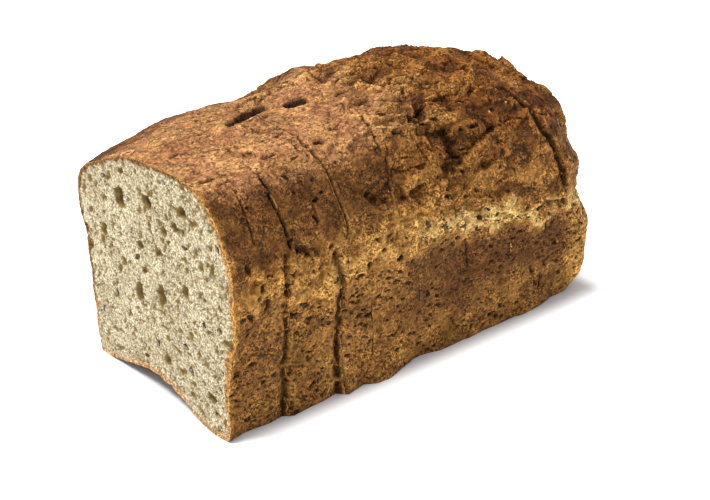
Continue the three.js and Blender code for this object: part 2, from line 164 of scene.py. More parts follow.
# Finer relief: how folds are drawn out along the loaf, the short cracks scattered over the dome, and marks
# at their places: cracks and pits, and raised folds with a negative depth.
LENGTHWISE = np.array([1.0, 1.8, 1.0])
SHORT_CRACKS = 220
CRACK_PLACES = (1, 172)
CRACK_LENGTHS = (2, 7)
CRACK_WIDTHS = (0.7, 1.4)
CRACK_DEPTHS = (0.4, 1.4)
CRACK_BELOW_CREST = 26
MARKS = [
    ((3.5, 19.6, 98.6), (7.2, 25.7, 98.9), 1.2, 1.5), ((-27.7, 37.8, 95.7), (-26, 39.8, 96.3), 1.4, 2),
    ((-35, 42, 93), (-29, 41, 95.5), 1.6, 2), ((-11.8, 12.6, 96.8), (-9.8, 14.6, 97.3), 0.9, 0.9),
    ((3.1, 35.8, 99.5), (3.4, 41.6, 100), 0.9, 0.9), ((3.4, 41.6, 100), (5.3, 46.7, 100.4), 1, 1.2),
    ((7.2, 44.3, 100.1), (8.7, 50.1, 100.6), 0.9, 1),
    ((21.6, 32.5, 98.4), (21.6, 38.7, 98.8), 1.3, 1.5), ((15, 7.9, 98.1), (15, 7.9, 98.1), 3, 0.8),
    ((21.8, 13.7, 97.6), (22.5, 15, 97.4), 2.2, 0.9),
    ((24.3, 27.4, 97.5), (24.3, 27.4, 97.5), 4.5, -1.2),
    ((31.1, 35.8, 94.8), (33, 36.5, 93.5), 2.2, 1.2), ((40, 41.6, 85.1), (40, 42.4, 85), 1.4, 1.6),
    ((42.4, 39.6, 80.4), (43.4, 40.6, 78.4), 1.4, 1.8),
    ((22.7, 63.1, 101.5), (23.6, 65.7, 101.7), 1.3, 1.6),
    ((4.2, 80.9, 104.8), (5, 83.8, 105.1), 1.3, 1.6),
    ((-29.8, 75.9, 96.5), (-23.6, 78.5, 99.3), 1.5, 1.6),
    ((-23.6, 78.5, 99.3), (-13.3, 78.1, 102.3), 1.4, 1.6),
    ((-22.3, 87.7, 101.5), (-13.4, 86.3, 103.5), 1.6, 1.5),
    ((-13.4, 86.3, 103.5), (-5.6, 86, 104.8), 1.6, 1.8),
    ((31.3, 78, 99.8), (33.2, 85.7, 99), 1.8, -1.6), ((33.2, 85.7, 99), (35.4, 95.2, 97.6), 1.8, -1.6),
    ((19.2, 65.9, 102.5), (21.5, 71.3, 103), 1.8, -1.3),
    ((21.5, 71.3, 103), (24.7, 75.8, 102.8), 1.8, -1.5),
    ((28.4, 77.5, 101.6), (29.2, 85.6, 101.9), 1.8, -1.5),
    ((29.2, 85.6, 101.9), (30.3, 92.9, 101.8), 1.8, -1.4),
    ((16.5, 108.9, 106.1), (20.6, 109.3, 105.7), 1.5, 1.8),
    ((20.6, 109.3, 105.7), (19.9, 114.5, 105.7), 1.5, 1.5),
    ((15.5, 140.3, 103.4), (27, 129.4, 102.7), 2.2, -1.6),
    ((7.1, 134.1, 104.4), (9.8, 135.9, 104.2), 1.8, 1.8),
    ((28.7, 21.7, 95.6), (32.4, 19.6, 93), 0.9, 0.8),
    ((-4.4, 87.4, 105), (-3.8, 95.4, 105.5), 1.8, 1.8),
    ((-3.8, 95.4, 105.5), (5, 98.1, 106.1), 1.6, 1.6), ((40, 112, 92.5), (40, 112.6, 92.4), 1.5, 2.2),
    ((40, 117, 92), (40, 117.8, 91.9), 1.6, 2.2), ((37, 3.9, 88), (37, 3.9, 88), 3, -0.8),
    ((45, 7.4, 72), (46, 8, 70), 2.4, 1.4), ((47.5, 6, 53), (46.5, 8, 51), 2.4, 1.6),
    ((46, 16, 54.5), (45.5, 15, 52), 2.6, 1.8), ((41.4, 7.8, 6), (41.4, 8.6, 6.4), 1.5, 1.8),
    ((43.8, 27.7, 45.3), (43.8, 28.2, 44), 1.8, 1.4), ((43.2, 150, 22), (42.4, 154, 12), 1.5, 0.9),
    ((44.1, 113.1, 46.8), (43.3, 115.2, 36), 1.2, 1), ((44.5, 156.4, 42), (44, 156.6, 36), 1.2, 1.4),
    ((42.5, 156.4, 15), (42.3, 156.2, 9), 1.3, 1.6), ((42.9, 157.9, 22), (42.8, 158, 20), 1.2, 1.2),
    ((-9, 40, 99), (-9.8, 46, 99.8), 3, 3), ((-9.8, 46, 99.8), (-11, 55.5, 100.4), 4.4, 3.4),
    ((-2.5, 50.4, 100.5), (-2, 54.4, 101.1), 1.2, 1.6),
    ((-3.6, 64, 102.2), (-3.4, 69.2, 102.8), 4, 3.2), ((-1.6, 68.5, 102.9), (-2.2, 71, 103), 2, 2),
    ((-7.9, 65.6, 101.9), (-8.3, 66.6, 101.9), 1.4, 1.8),
    ((-24.8, 49.4, 97), (-18.4, 51.8, 99.3), 1.6, 2),
    ((-18.4, 51.8, 99.3), (-26.6, 65.1, 95.9), 2, 2.2),
    ((-14.8, 58.4, 100.3), (-24.2, 71.1, 97.1), 2.2, 2.4),
    ((6, 49.3, 100.5), (8.5, 49.1, 100.4), 1.2, 1.6), ((13.1, 45, 99.9), (12.7, 48.8, 100.3), 1.2, 1.4),
    ((25.3, 54.4, 99.5), (26.3, 56.4, 99.5), 1.6, 1.8), ((14.5, 31, 97.7), (14.9, 31.5, 97.7), 3, 1),
    ((19.1, 137.5, 103.7), (24.2, 130.3, 103.6), 1.6, -1.4),
    ((24.2, 130.3, 103.6), (29, 124.9, 102.5), 1.6, -1.4),
    ((29, 124.9, 102.5), (32, 117.7, 101), 1.5, -1.3),
    ((28.5, 128.5, 102.2), (31.7, 138.8, 98.3), 1.4, -1.3),
    ((35.9, 95.2, 96.1), (41.1, 97.3, 90.4), 1.2, -1),
    ((30.5, 68.6, 99.7), (30.4, 74.4, 100.3), 1.3, -1.1),
    ((22.1, 113.6, 105), (30, 114.3, 101.3), 1.2, -1.1),
    ((29.3, 96.8, 101.6), (26.7, 104.1, 102.7), 1.4, -1.2),
    ((26.7, 104.1, 102.7), (28.2, 109.3, 103.3), 1.4, -1.2),
    ((39, 112, 94.4), (40.5, 124, 90), 7, -0.4),
]

# Flaxseeds: their size, their places across and up in the first cut face, and how many are scattered over
# each kind of crust. Flecks are loose crumbs on the far crust: some at their places, some scattered. Both
# lie at any turn, in radians.
SEED_LENGTH = 4.4
SEED_WIDTH = 2.2
SEED_THICKNESS = 1.1
FACE_SEEDS = [
    (-35.8, 79.9), (5, 92.7), (-5.1, 68.6), (16.5, 70.5), (37.1, 78.2), (-40.4, 20.3), (-30.2, 32.3),
    (-3.5, 21.8), (-11.6, 12.3), (15.1, 28.1), (17.7, 19.4), (37.5, 27.5), (32.8, 7.5), (27.3, 43.1),
    (-14.8, 53.6),
]
FACE_SEED_DEPTH = 0.15
FACE_SEED_SIZES = (0.8, 1.05)
FACE_SEED_KERNELS = [0.0, 0.5, 0.9]
CRUST_SEEDS = [("pale", 46), ("band", 18), ("wall", 12)]
CRUST_SEED_SIZES = (0.65, 1)
CRUST_SEED_SUNK = (0.2, 0.6)
FLECKS = [
    (35.8, 114.7, 98), (38.4, 117.6, 95), (37.8, 129.2, 94.5), (36.2, 139.4, 95), (-6.4, 103, 106),
    (11.9, 97.8, 106.5), (-3.6, 114.9, 106),
]
FLECK_SIZES = (0.35, 0.55)
FLECK_NORMAL = (0.4, 0.0, 0.9)
LOOSE_FLECKS = 40
LOOSE_FLECK_SIZES = (0.2, 0.5)
LOOSE_FLECK_LOWEST = 75
ANY_TURN = (0, 7)

# Where seeds and crumbs may be scattered: at least so much of a kind of crust, and so high up.
SPOT_SHARE = 0.75
SPOT_LOWEST = 5
SPOTS_A_PIECE = 400

# Mesh steps: in millimetres round the outline and along the loaf, and as shares of the way over a cut
# face, with half as many points round it within each of the shares FACE_HALVED.
STEP_SEEN = 0.5
STEP_LEFT = 0.8
LEFT_OF = -45
STEP_UNDER = 1.3
UNDER_BELOW = 8
UNDER_WITHIN = 38
STEP_ALONG = 0.5
OUTLINE_MULTIPLE = 32
FACE_STEP_FINE = 0.0105
FACE_STEP_COARSE = 0.034
FACE_RIM = 0.012
FACE_HALVED = (0.14, 0.28, 0.55)
END_PIECE_ROWS = 62
SHARP_TURN = math.radians(70)

# Shares kept at each point for the materials, and the numbers of the two materials of the bread.
BREAD_KEYS = ("wall", "band", "pale", "dome", "top", "far", "browned", "gold", "dim", "fringe", "end",
              "pit", "high", "edge", "rim", "inside", "depth")
SEED_KEYS = ("kernel",)
CRUST, CRUMB = 0, 1

# Cut faces: the width of their brown edge in front, and inside that of a dark edge which is painted shade
# of the gaps between slices; where it is wider, and where in front it is darker. Then where the open crumb
# starts, and the depth at which the painted shade in its pores is darkest.
RIM_FRONT = (0.9, 3.2)
RIM_INSIDE = (8, 14)
RIM_WIDER_ACROSS = (10, 35)
TOASTED_ACROSS = (12, 34)
TOASTED_UP = (8, 40)
CRUMB_FROM_EDGE = (0.8, 2.4)
CRUMB_DEEPEST = 4.4

# Edges of the crust: how far it rolls in at the cuts, and where the first cut face has a light edge that is
# so many times wider than others.
HAIRLINE_ROLL = 0.25
WIDE_ROLLS = {26.5: 0.7, 52.5: 0.8, 164: 0.8}
BACK_ROLLS = {26.5: 2.0, 52.5: 2.8, 164: 0.8}
FIRST_EDGE_ACROSS = (20, 38)
FIRST_EDGE_WIDER = 4

# Closing of the cuts: how much of a hairline and of a wide gap is shut, the heights over which all become
# so, the gap that is left, and how far into a slice the shift reaches.
CUT_TIGHT = 0.4
WIDE_SHUT = 0.4
SHUT_ABOVE = (76, 88)
SHUT_GAP = 0.02
STRETCH = 6

# Seams where a cut shows on the right: pairs of a turn round the section in degrees and a place along the
# loaf, then the furrow's width, depth, painted shade, the lightness of its far edge and its raggedness.
SEAM_CENTRE = 48
SEAM_SIDE = (-10, 10)
SEAM_CUTS = (14.5, 26.5, 39.5, 52.5, 80.5, 101.5, 164)
SEAMS = [
    ([(58, 13.9), (46, 13.4), (36, 12.8)], 1.2, 1.1, 0.8, 0.15, 0.9),
    ([(60, 26.8), (50, 26.2), (44, 26.3), (38, 27.1), (29, 27)], 1.7, 2.0, 1.0, 0.4, 0.8),
    ([(27, 24.4), (22, 23.7), (17, 24.6), (11, 25.9), (5, 26.1), (-50, 25.9)], 3.8, 2.0, 0.75, 0.2, 1.6),
    ([(53, 40.1), (45, 40.1), (38, 41.4)], 1.0, 0.8, 0.6, 0.1, 0.9),
    ([(73, 51.5), (69, 50.5), (59, 51), (52, 51.9), (44, 52.4), (28, 52.3)], 1.7, 1.9, 1.0, 0.45, 0.8),
    ([(22, 46), (15, 47.9), (9, 49.6), (2, 51.6), (-50, 51.6)], 4.6, 2.3, 0.8, 0.3, 1.5),
    ([(77, 77.5), (69, 76), (62, 76.4), (55, 75.6), (48, 76.6), (31, 74.8)], 1.2, 1.0, 0.8, 1.0, 0.7),
    ([(61, 96.5), (54, 93.8), (47, 93.2), (41, 94.5)], 1.1, 0.9, 0.7, 0.8, 0.7),
    ([(60, 144), (50, 151.3), (46, 153.5), (39, 155.1), (31, 158.8), (22, 162.4), (14, 164.2), (2, 167)],
     4.6, 2.9, 1.0, 0.6, 0.4),
]

# How far the foot stands out on the right along the loaf, and how far the first cut face's foot is pushed
# forward.
FOOT_LINE = [
    (0, 1.8), (8, 0), (18, 0.7), (25, -0.1), (28.5, 2.4), (38, 1.4), (43, 1.3), (50.5, -0.3), (54, 3.1),
    (63, 0.4), (67.5, 2.9), (74, 3.1), (81, 1), (90, -1.5), (94, -1.6), (99, -0.2), (103, 1.5),
    (110, 1.6), (115, 1.1), (118, 1.5), (127, 0.5), (136, 0.4), (144, 0), (147, 1.1), (153, 0.9),
    (160, -0.1), (167, -1.7), (180, -0.4),
]
FOOT_LINE_ACROSS = (20, 36)
FOOT_LINE_UP = (1, 14)
FRONT_FOOT = 2.0
FRONT_FOOT_ACROSS = (14, 33)
FRONT_FOOT_CORNER = (34, 41)
FRONT_FOOT_UP = (0, 15)

# Ground: the loaf's foot on it in metres, as its middle and half its size, and the glow beyond it.
FLOOR_HALF = 3.0
FLOOR_COLOUR = (0.86, 0.89, 0.93, 1)
FLOOR_GLOW = 0.8
FLOOR_GLOW_REACH = 0.012
FOOT_ACROSS = (0.0018, 0.0425)
FOOT_ALONG = (-0.009, 0.097)

# Light: a white surround and one soft lamp.
SURROUND = 0.65
LAMP_PLACE = (-0.25, -0.45, 1.05)
LAMP_AIM = (0, 0, 0.05)
LAMP_SIZE = 0.4
LAMP_POWER = 12

# Camera of the photograph, in the loaf's own millimetres.
IMAGE_WIDTH = 710
FOCAL_PIXELS = 2150
SENSOR = 36
CAMERA_PLACE = (584.16, -387.97, 438.23)
CAMERA_AZIMUTH = math.radians(50.490)
CAMERA_ELEVATION = math.radians(28.291)


# Curves, noise and pits

def curve(table, place):
    """Smooth curve through a table's points, held level beyond its ends."""
    at = np.array([row[0] for row in table], float)
    value = np.array([row[1] for row in table], float)
    slope = np.empty_like(value)
    slope[1:-1] = (value[2:] - value[:-2]) / (at[2:] - at[:-2])
    slope[0] = (value[1] - value[0]) / (at[1] - at[0])
    slope[-1] = (value[-1] - value[-2]) / (at[-1] - at[-2])
    place = np.clip(np.asarray(place, float), at[0], at[-1])
    i = np.clip(np.searchsorted(at, place, side="right") - 1, 0, len(at) - 2)
    span = at[i + 1] - at[i]
    t = (place - at[i]) / span
    return ((2 * t**3 - 3 * t**2 + 1) * value[i] + (t**3 - 2 * t**2 + t) * span * slope[i]
            + (3 * t**2 - 2 * t**3) * value[i + 1] + (t**3 - t**2) * span * slope[i + 1])


def smooth(x, low, high):
    """Smooth step from 0 at low to 1 at high."""
    t = np.clip((x - low) / (high - low), 0, 1)
    return t * t * (3 - 2 * t)


def scatter(i, j, k, seed=0.0):
    """Random value from 0 to 1 for each lattice point, the same on every run."""
    h = np.sin(i * 127.1 + j * 311.7 + k * 74.7 + seed * 17.3) * 43758.5453
    return h - np.floor(h)


def noise(points, cell, seed=0.0):
    """Smooth random value from -1 to 1. The cell may differ in x, y and z."""
    place = points / np.asarray(cell, float)
    low = np.floor(place)
    s = place - low
    s = s * s * (3 - 2 * s)
    total = np.zeros(len(points))
    for dx in (0, 1):
        for dy in (0, 1):
            for dz in (0, 1):
                corner = scatter(low[:, 0] + dx, low[:, 1] + dy, low[:, 2] + dz, seed)
                weight = (s[:, 0] if dx else 1 - s[:, 0])
                weight = weight * (s[:, 1] if dy else 1 - s[:, 1])
                weight = weight * (s[:, 2] if dz else 1 - s[:, 2])
                total += weight * corner
    return 2 * total - 1


def rough(points, cell, octaves, seed=0.0):
    """Noise of several sizes, each half as large and half as strong as the one before."""
    total = np.zeros(len(points))
    for octave in range(octaves):
        total += noise(points, np.asarray(cell, float) / 2**octave, seed + octave) / 2**octave
    return total


def cells_round(place, seed):
    """The 27 lattice cells round each point: their numbers, and a random point in each."""
    low = np.floor(place)
    for dx in (-1, 0, 1):
        for dy in (-1, 0, 1):
            for dz in (-1, 0, 1):
                cell = low[:, 0] + dx, low[:, 1] + dy, low[:, 2] + dz
                yield cell, np.stack([cell[axis] + scatter(*cell, seed + 1 + axis) for axis in range(3)], 1)


def pits(points, size, chance, smallest, largest, seed):
    """Depth of round pits scattered one to a cell, each with its own place and radius."""
    place = points / size
    depth = np.zeros(len(points))
    for cell, centre in cells_round(place, seed):
        radius = smallest + (largest - smallest) * scatter(*cell, seed + 4) ** 2
        away = np.linalg.norm(place - centre, axis=1) * size
        here = (scatter(*cell, seed + 5) < chance) & (away < radius)
        depth = np.maximum(depth, np.where(here, np.sqrt(np.maximum(radius**2 - away**2, 0)), 0))
    return depth


def cells(points, size, seed):
    """Cells round scattered points: distances to the nearest point and the second nearest, the nearest's
    own number from 0 to 1, and the height of a face tilted its own way."""
    place = points / size
    first = np.full(len(points), 9.0)
    second = np.full(len(points), 9.0)
    number = np.zeros(len(points))
    tilt = np.zeros(len(points))
    for cell, centre in cells_round(place, seed):
        away = np.linalg.norm(place - centre, axis=1)
        nearer = away < first
        slope = np.stack([scatter(*cell, seed + 5 + axis) - 0.5 for axis in range(3)], 1)
        tilt = np.where(nearer, ((place - centre) * slope).sum(1), tilt)
        second = np.where(nearer, first, np.minimum(second, away))
        number = np.where(nearer, scatter(*cell, seed + 4), number)
        first = np.minimum(first, away)
    return first * size, second * size, number, tilt * size


# The smooth form

def side_points(base, rim, tear, slack):
    """Points up one side of a section, from its foot to the torn band."""
    wall = base + WALL_FLARE * rim + slack
    return [(base, FOOT_RADIUS + 0 * rim), (base + 0.45 * WALL_FLARE * rim + slack, 0.45 * rim),
            (wall, rim - 2), (wall + 1.2, rim + 0.38 * (tear - rim))]


def outline_points(place):
    """Points that each section's outline runs through, as arrays of shape (places, points, 2)."""
    place = np.atleast_1d(np.asarray(place, float))
    level = np.zeros_like(place)
    crest, lift, right = curve(CREST, place), curve(LIFT_LEFT, place), curve(BASE_RIGHT, place)
    tear_right, tear_left = curve(TEAR_RIGHT, place), curve(TEAR_LEFT, place)
    dome = [(across + level, crest - drop + share * lift) for across, drop, share in DOME]
    left = BASE_LEFT + level
    points = [(x + level, z + level) for x, z in ARCH[1:]]
    points += [(right - FOOT_RADIUS - FOOT_FLAT, level), (right - FOOT_RADIUS, level)]
    points += side_points(right, curve(RIM_RIGHT, place), tear_right, 0)
    points += [(DOME_RIGHT + level, tear_right)]
    points += [(DOME_RIGHT - 0.8 + level, tear_right + 0.45 * (dome[0][1] - tear_right))]
    points += dome
    points += [(-DOME_LEFT + level, tear_left + 1)]
    mirrored = side_points(left, curve(RIM_LEFT, place), tear_left, WALL_SLACK_LEFT)
    points += [(-x, z) for x, z in reversed(mirrored)]
    points += [(-(left - FOOT_RADIUS), level), (-(left - FOOT_RADIUS - FOOT_FLAT), level)]
    points += [(ARCH[0][0] + level, ARCH[0][1] + level)]
    return np.stack([np.stack(np.broadcast_arrays(x, z), -1) for x, z in points], 1)


def outline_steps():
    """Steps from each outline point to the next, finest where the loaf is seen most."""
    points = outline_points(CUTS[len(CUTS) // 2])[0]
    ahead = np.roll(points, -1, 0)
    middle = (points + ahead) / 2
    step = np.full(len(points), STEP_SEEN)
    step[middle[:, 0] < LEFT_OF] = STEP_LEFT
    step[(middle[:, 1] < UNDER_BELOW) & (np.abs(middle[:, 0]) < UNDER_WITHIN)] = STEP_UNDER
    steps = np.maximum(2, np.round(np.linalg.norm(ahead - points, axis=1) / step)).astype(int)
    steps[np.argmax(steps)] += -steps.sum() % OUTLINE_MULTIPLE
    return steps


STEPS = outline_steps()


def outline(place):
    """Closed smooth outlines, as arrays of shape (places, STEPS.sum(), 2)."""
    points = outline_points(place)
    before, ahead, beyond = np.roll(points, 1, 1), np.roll(points, -1, 1), np.roll(points, -2, 1)
    span = np.repeat(np.arange(len(STEPS)), STEPS)
    t = np.concatenate([np.arange(n) / n for n in STEPS])[None, :, None]
    p0, p1, p2, p3 = before[:, span], points[:, span], ahead[:, span], beyond[:, span]
    start, stop = (p2 - p0) / 2, (p3 - p1) / 2
    return ((2 * p1 - 2 * p2 + start + stop) * t**3 + (3 * p2 - 3 * p1 - 2 * start - stop) * t**2
            + start * t + p1)


def rounded(share):
    """How far a quarter circle has turned in, from 0 to 1."""
    return 1 - np.sqrt(1 - np.clip(share, 0, 1) ** 2)


def in_plane_normals(section):
    """Directions out of each section, in its own plane."""
    along = np.roll(section, -1, 1) - np.roll(section, 1, 1)
    normal = np.stack([along[..., 1], -along[..., 0]], -1)
    return normal / np.linalg.norm(normal, axis=-1, keepdims=True)


def crust_form(section, lengthwise, edge=0.0):
    """Smooth crust points (rows, n, 3) and their directions out, from sections and a rule for y."""
    normal = in_plane_normals(section)
    x, z = section[..., 0].copy(), section[..., 1].copy()
    y = lengthwise(z)
    reach, corner = curve(END_REACH, z), curve(END_CORNER, z)
    x *= 1 - corner * rounded((y - reach + corner) / corner) / DOME_RIGHT
    if edge:
        tuck = edge * rounded((y - reach + edge) / edge)
        x -= normal[..., 0] * tuck
        z -= normal[..., 1] * tuck
        z = np.maximum(z, 0)
        y = lengthwise(z)
    out = np.stack([normal[..., 0], np.zeros_like(y), normal[..., 1]], -1)
    return np.stack([x, y, z], -1), out


# Relief of the crust

def furrows(p, table, lip=0.0):
    """Depth of a table's furrows, each deepest along its line and fading out to its width, with lips."""
    total = np.zeros(len(p))
    for start, stop, width, depth in table:
        start, stop = np.array(start, float), np.array(stop, float)
        line = stop - start
        share = np.clip((p - start) @ line / max(line @ line, 1e-9), 0, 1)
        away = np.linalg.norm(p - start - share[:, None] * line, axis=1)
        total += depth * (1 - smooth(away, 0.2 * width, 0.68 * width))
        if lip:
            total -= lip * depth * np.exp(-((away - 0.9 * width) / (0.3 * width)) ** 2)
    return total


def seams(p):
    """Depth of the seams, their darkness as painted shade in the furrows, and lightness of their far edges.
    """
    turn = np.degrees(np.arctan2(p[:, 2] - SEAM_CENTRE, p[:, 0]))
    ragged = 0.5 * noise(p, 4, 70) + 0.3 * noise(p, 1.5, 71)
    worn = smooth(noise(p, 3.2, 72) + 0.5 * noise(p, 1.3, 73), -0.75, -0.15)
    depth, dark, light = np.zeros(len(p)), np.zeros(len(p)), np.zeros(len(p))
    for line, width, deep, darkness, lightness, raggedness in SEAMS:
        turns, places = np.array(line[::-1], float).T
        beyond = p[:, 1] - np.interp(turn, turns, places) + raggedness * ragged
        shows = worn * smooth(turn, turns[0] - 2, turns[0] + 1)
        shows = shows * (1 - smooth(turn, turns[-1] - 1, turns[-1] + 2))
        reach = np.where(beyond < 0, 0.85, 0.3) * width
        share = shows * (1 - smooth(np.abs(beyond), 0.05 * width, reach))
        depth = np.maximum(depth, deep * share)
        dark = np.maximum(dark, darkness * share)
        edge = np.exp(-((beyond - 0.3 * width - 0.3) / 0.32) ** 2)
        light = np.maximum(light, lightness * shows * edge)
    return depth, dark, light


def crags(p):
    """Depth of the large crags with ragged edges."""
    return furrows(p + 0.8 * swirl(p, 4, 65) + 0.5 * swirl(p, 1.5, 66), CRAGS)


def swells(p):
    """Height of the low swells and dips."""
    total = np.zeros(len(p))
    for centre, radius, height in SWELLS:
        total += height * np.exp(-((p - np.array(centre)) ** 2).sum(1) / radius**2)
    return total


def large_relief(p):
    """Lumps and crags, as in the solids, and the swells."""
    dome = smooth(p[:, 2], DOME_FROM, DOME_TO)
    height = (LUMP_WALL + (LUMP_DOME - LUMP_WALL) * dome) * noise(p, LUMP_CELL)
    height += CRAGGY_HEIGHT * dome * smooth(p[:, 1], CRAGGY_FROM, CRAGGY_TO) * noise(p, CRAGGY_CELL)
    height -= crags(p)
    return (height + swells(p)) * smooth(p[:, 2], 0, FOOT_FADE)


def zones(p):
    """Share of each kind of crust at each point."""
    x, y, z = p.T
    ragged = rough(p, 9, 3, 40)
    low = np.where(x > 0, curve(BAND_LOW, y), curve(RIM_LEFT, y))
    high = np.where(x > 0, curve(BAND_HIGH, y), curve(TEAR_LEFT, y) + 2.5)
    wall = 1 - smooth(z + 2.5 * ragged, low - 2, low + 1.5)
    dome = smooth(z + 5 * ragged, high - 5, high + 5) * (1 - wall)
    band = np.clip(1 - wall - dome, 0, 1)
    top = smooth(z - curve(CREST, y) + 3 * ragged, *TOP_BELOW_CREST)
    shoulder = curve(SHOULDER, y)
    far = smooth(y + 14 * ragged, *FAR_ALONG)
    pale = band * smooth(y + 10 * ragged, *PALE_ALONG) * (0.15 + 0.85 * smooth(y, *PALE_FULL_ALONG))
    dim = smooth(y + 8 * ragged, *DIM_ALONG) * smooth(z + 6 * ragged, *DIM_UP)
    dim = dim * smooth(low - z - 4 * ragged, 0, 6) + 0.5 * (1 - smooth(y + 8 * ragged, *DIM_FRONT_ALONG))
    return {
        "wall": wall,
        "band": band,
        "dome": dome,
        "pale": pale * (1 - smooth(z + 5 * ragged, high - 8, high + 2)),
        "top": top * (1 - smooth(x + 5 * ragged, shoulder - 6, shoulder + 6)),
        "far": far,
        "browned": smooth(y + 14 * ragged - 14 * top, *FAR_ALONG),
        "fringe": np.exp(-((z - low + 1 + 2 * ragged) / 3.5) ** 2),
        "gold": dome * smooth(y + 1.5 * ragged, *GOLD_ALONG) * (1 - smooth(z + 6 * ragged, *GOLD_UP)),
        "dim": dim,
        "end": smooth(y + 4 * ragged, *END_ALONG),
    }


def ridged(p, cell, octaves, seed):
    """Sharp ridges between rounded hollows, from -1 to 1."""
    return 1 - 2 * np.abs(rough(p, cell, octaves, seed))


def swirl(p, cell, seed):
    """Random direction at each point, for bending other patterns."""
    return np.stack([noise(p, cell, seed), noise(p, cell, seed + 0.3), noise(p, cell, seed + 0.6)], 1)


def short_cracks(count, seed):
    """Short cracks scattered over the dome, mostly along the loaf, as rows for furrows()."""
    draw = np.random.default_rng(seed)
    rows = []
    while len(rows) < count:
        y = draw.uniform(*CRACK_PLACES)
        length = draw.uniform(*CRACK_LENGTHS)
        ring = outline([y, y + length])
        i = draw.integers(ring.shape[1])
        j = i + draw.integers(-3, 4)
        if ring[0, i, 1] < curve(CREST, y) - CRACK_BELOW_CREST:
            continue
        start = (ring[0, i, 0], y, ring[0, i, 1])
        stop = (ring[1, j % ring.shape[1], 0], y + length, ring[1, j % ring.shape[1], 1])
        rows.append((start, stop, draw.uniform(*CRACK_WIDTHS), draw.uniform(*CRACK_DEPTHS)))
    return rows


CRACKS = short_cracks(SHORT_CRACKS, 5)


def smooth_dome(p):
    """Front of the dome: long low folds, blisters and a fine grain. Returns height and painted shade in
    holes.
    """
    bent = p + 1.5 * swirl(p, 6, 2)
    folds = 0.5 * noise(bent, 9 * LENGTHWISE, 3) + 0.16 * ridged(bent, 6 * LENGTHWISE, 2, 4)
    grain = 0.14 * noise(p, 2.1, 7) + 0.16 * noise(p, 1.05, 8)
    blister = 0.4 * pits(p, 8, 0.45, 1.0, 2.4, 60)
    hole = pits(p + 0.4 * swirl(p, 1.5, 62), 3.4, 0.45, 0.3, 0.95, 18)
    return folds + grain + blister - 0.9 * hole, hole / 0.7


def craggy_dome(p):
    """Far part of the dome: broken plates, ridges and deep pits. Returns height and painted shade in pits
    and cracks.
    """
    bent = p + 2.5 * swirl(p, 7, 21) + 0.8 * swirl(p, 2.5, 22)
    first, second, number, tilt = cells(bent / np.array([1.0, 1.6, 1.0]), 8, 24)
    plates = 1.3 * (number - 0.5) + 0.5 * tilt
    border = np.exp(-((second - first) / 0.5) ** 2)
    side = noise(p, 11, 25)
    crack = border * smooth(side, 0.0, 0.4)
    ridges = 0.7 * ridged(bent, 8 * LENGTHWISE, 3, 26) + 0.3 * ridged(bent, 3, 2, 19)
    ridges += 0.7 * border * smooth(-side, 0.0, 0.4)
    grain = 0.3 * noise(p, 2.0, 27) + 0.28 * noise(p, 1.05, 28)
    hole = pits(p + 0.7 * swirl(p, 1.8, 29), 3.6, 0.6, 0.35, 1.5, 61)
    pitted = smooth(p[:, 1], 100, 122) * smooth(p[:, 0], 14, 30)
    hole = np.maximum(hole, pitted * pits(p + 0.5 * swirl(p, 1.5, 68), 2.7, 0.55, 0.3, 0.95, 69))
    return plates + ridges + grain - 0.6 * crack - hole, np.maximum(0.45 * crack, hole / 1.0)


def torn_band(p):
    """Crumb torn open in the oven: strands and hollows with deep holes. Returns height and painted shade in
    holes.
    """
    bent = p + 1.4 * swirl(p, 3.2, 42) + 0.5 * swirl(p, 1.4, 43)
    strands = 0.7 * ridged(bent, 8, 2, 10) + 0.65 * ridged(bent, 3.6, 3, 11)
    grain = 0.35 * noise(p, 1.6, 45) + 0.3 * noise(p, 0.9, 44)
    hole = np.maximum(pits(bent, 5, 0.6, 0.7, 2.1, 12), pits(bent, 2.3, 0.7, 0.35, 1.0, 46))
    reach = smooth(p[:, 1], 1, 14)
    return reach * (strands - hole) + grain, hole / 1.0


def tin_wall(p):
    """Crust that lay against the tin: dense pinholes, shallow dents and a fine grain. Returns height and
    painted shade in pinholes.
    """
    bent = p + 0.7 * swirl(p, 1.7, 47)
    long = bent * np.array([1.0, 0.62, 1.15])
    hole = np.maximum(pits(long, 1.9, 0.9, 0.4, 0.9, 14), pits(long, 3.4, 0.5, 0.5, 1.3, 50))
    hole *= 0.5 + 0.5 * smooth(rough(p, 12, 2, 48), -0.4, 0.3)
    dents = 0.4 * noise(p, 9, 15) + 0.3 * noise(p, 3.8, 16)
    grain = 0.2 * noise(p, 1.6, 17) + 0.14 * noise(p, 0.9, 13)
    return dents + grain - 1.25 * hole, hole / 0.5


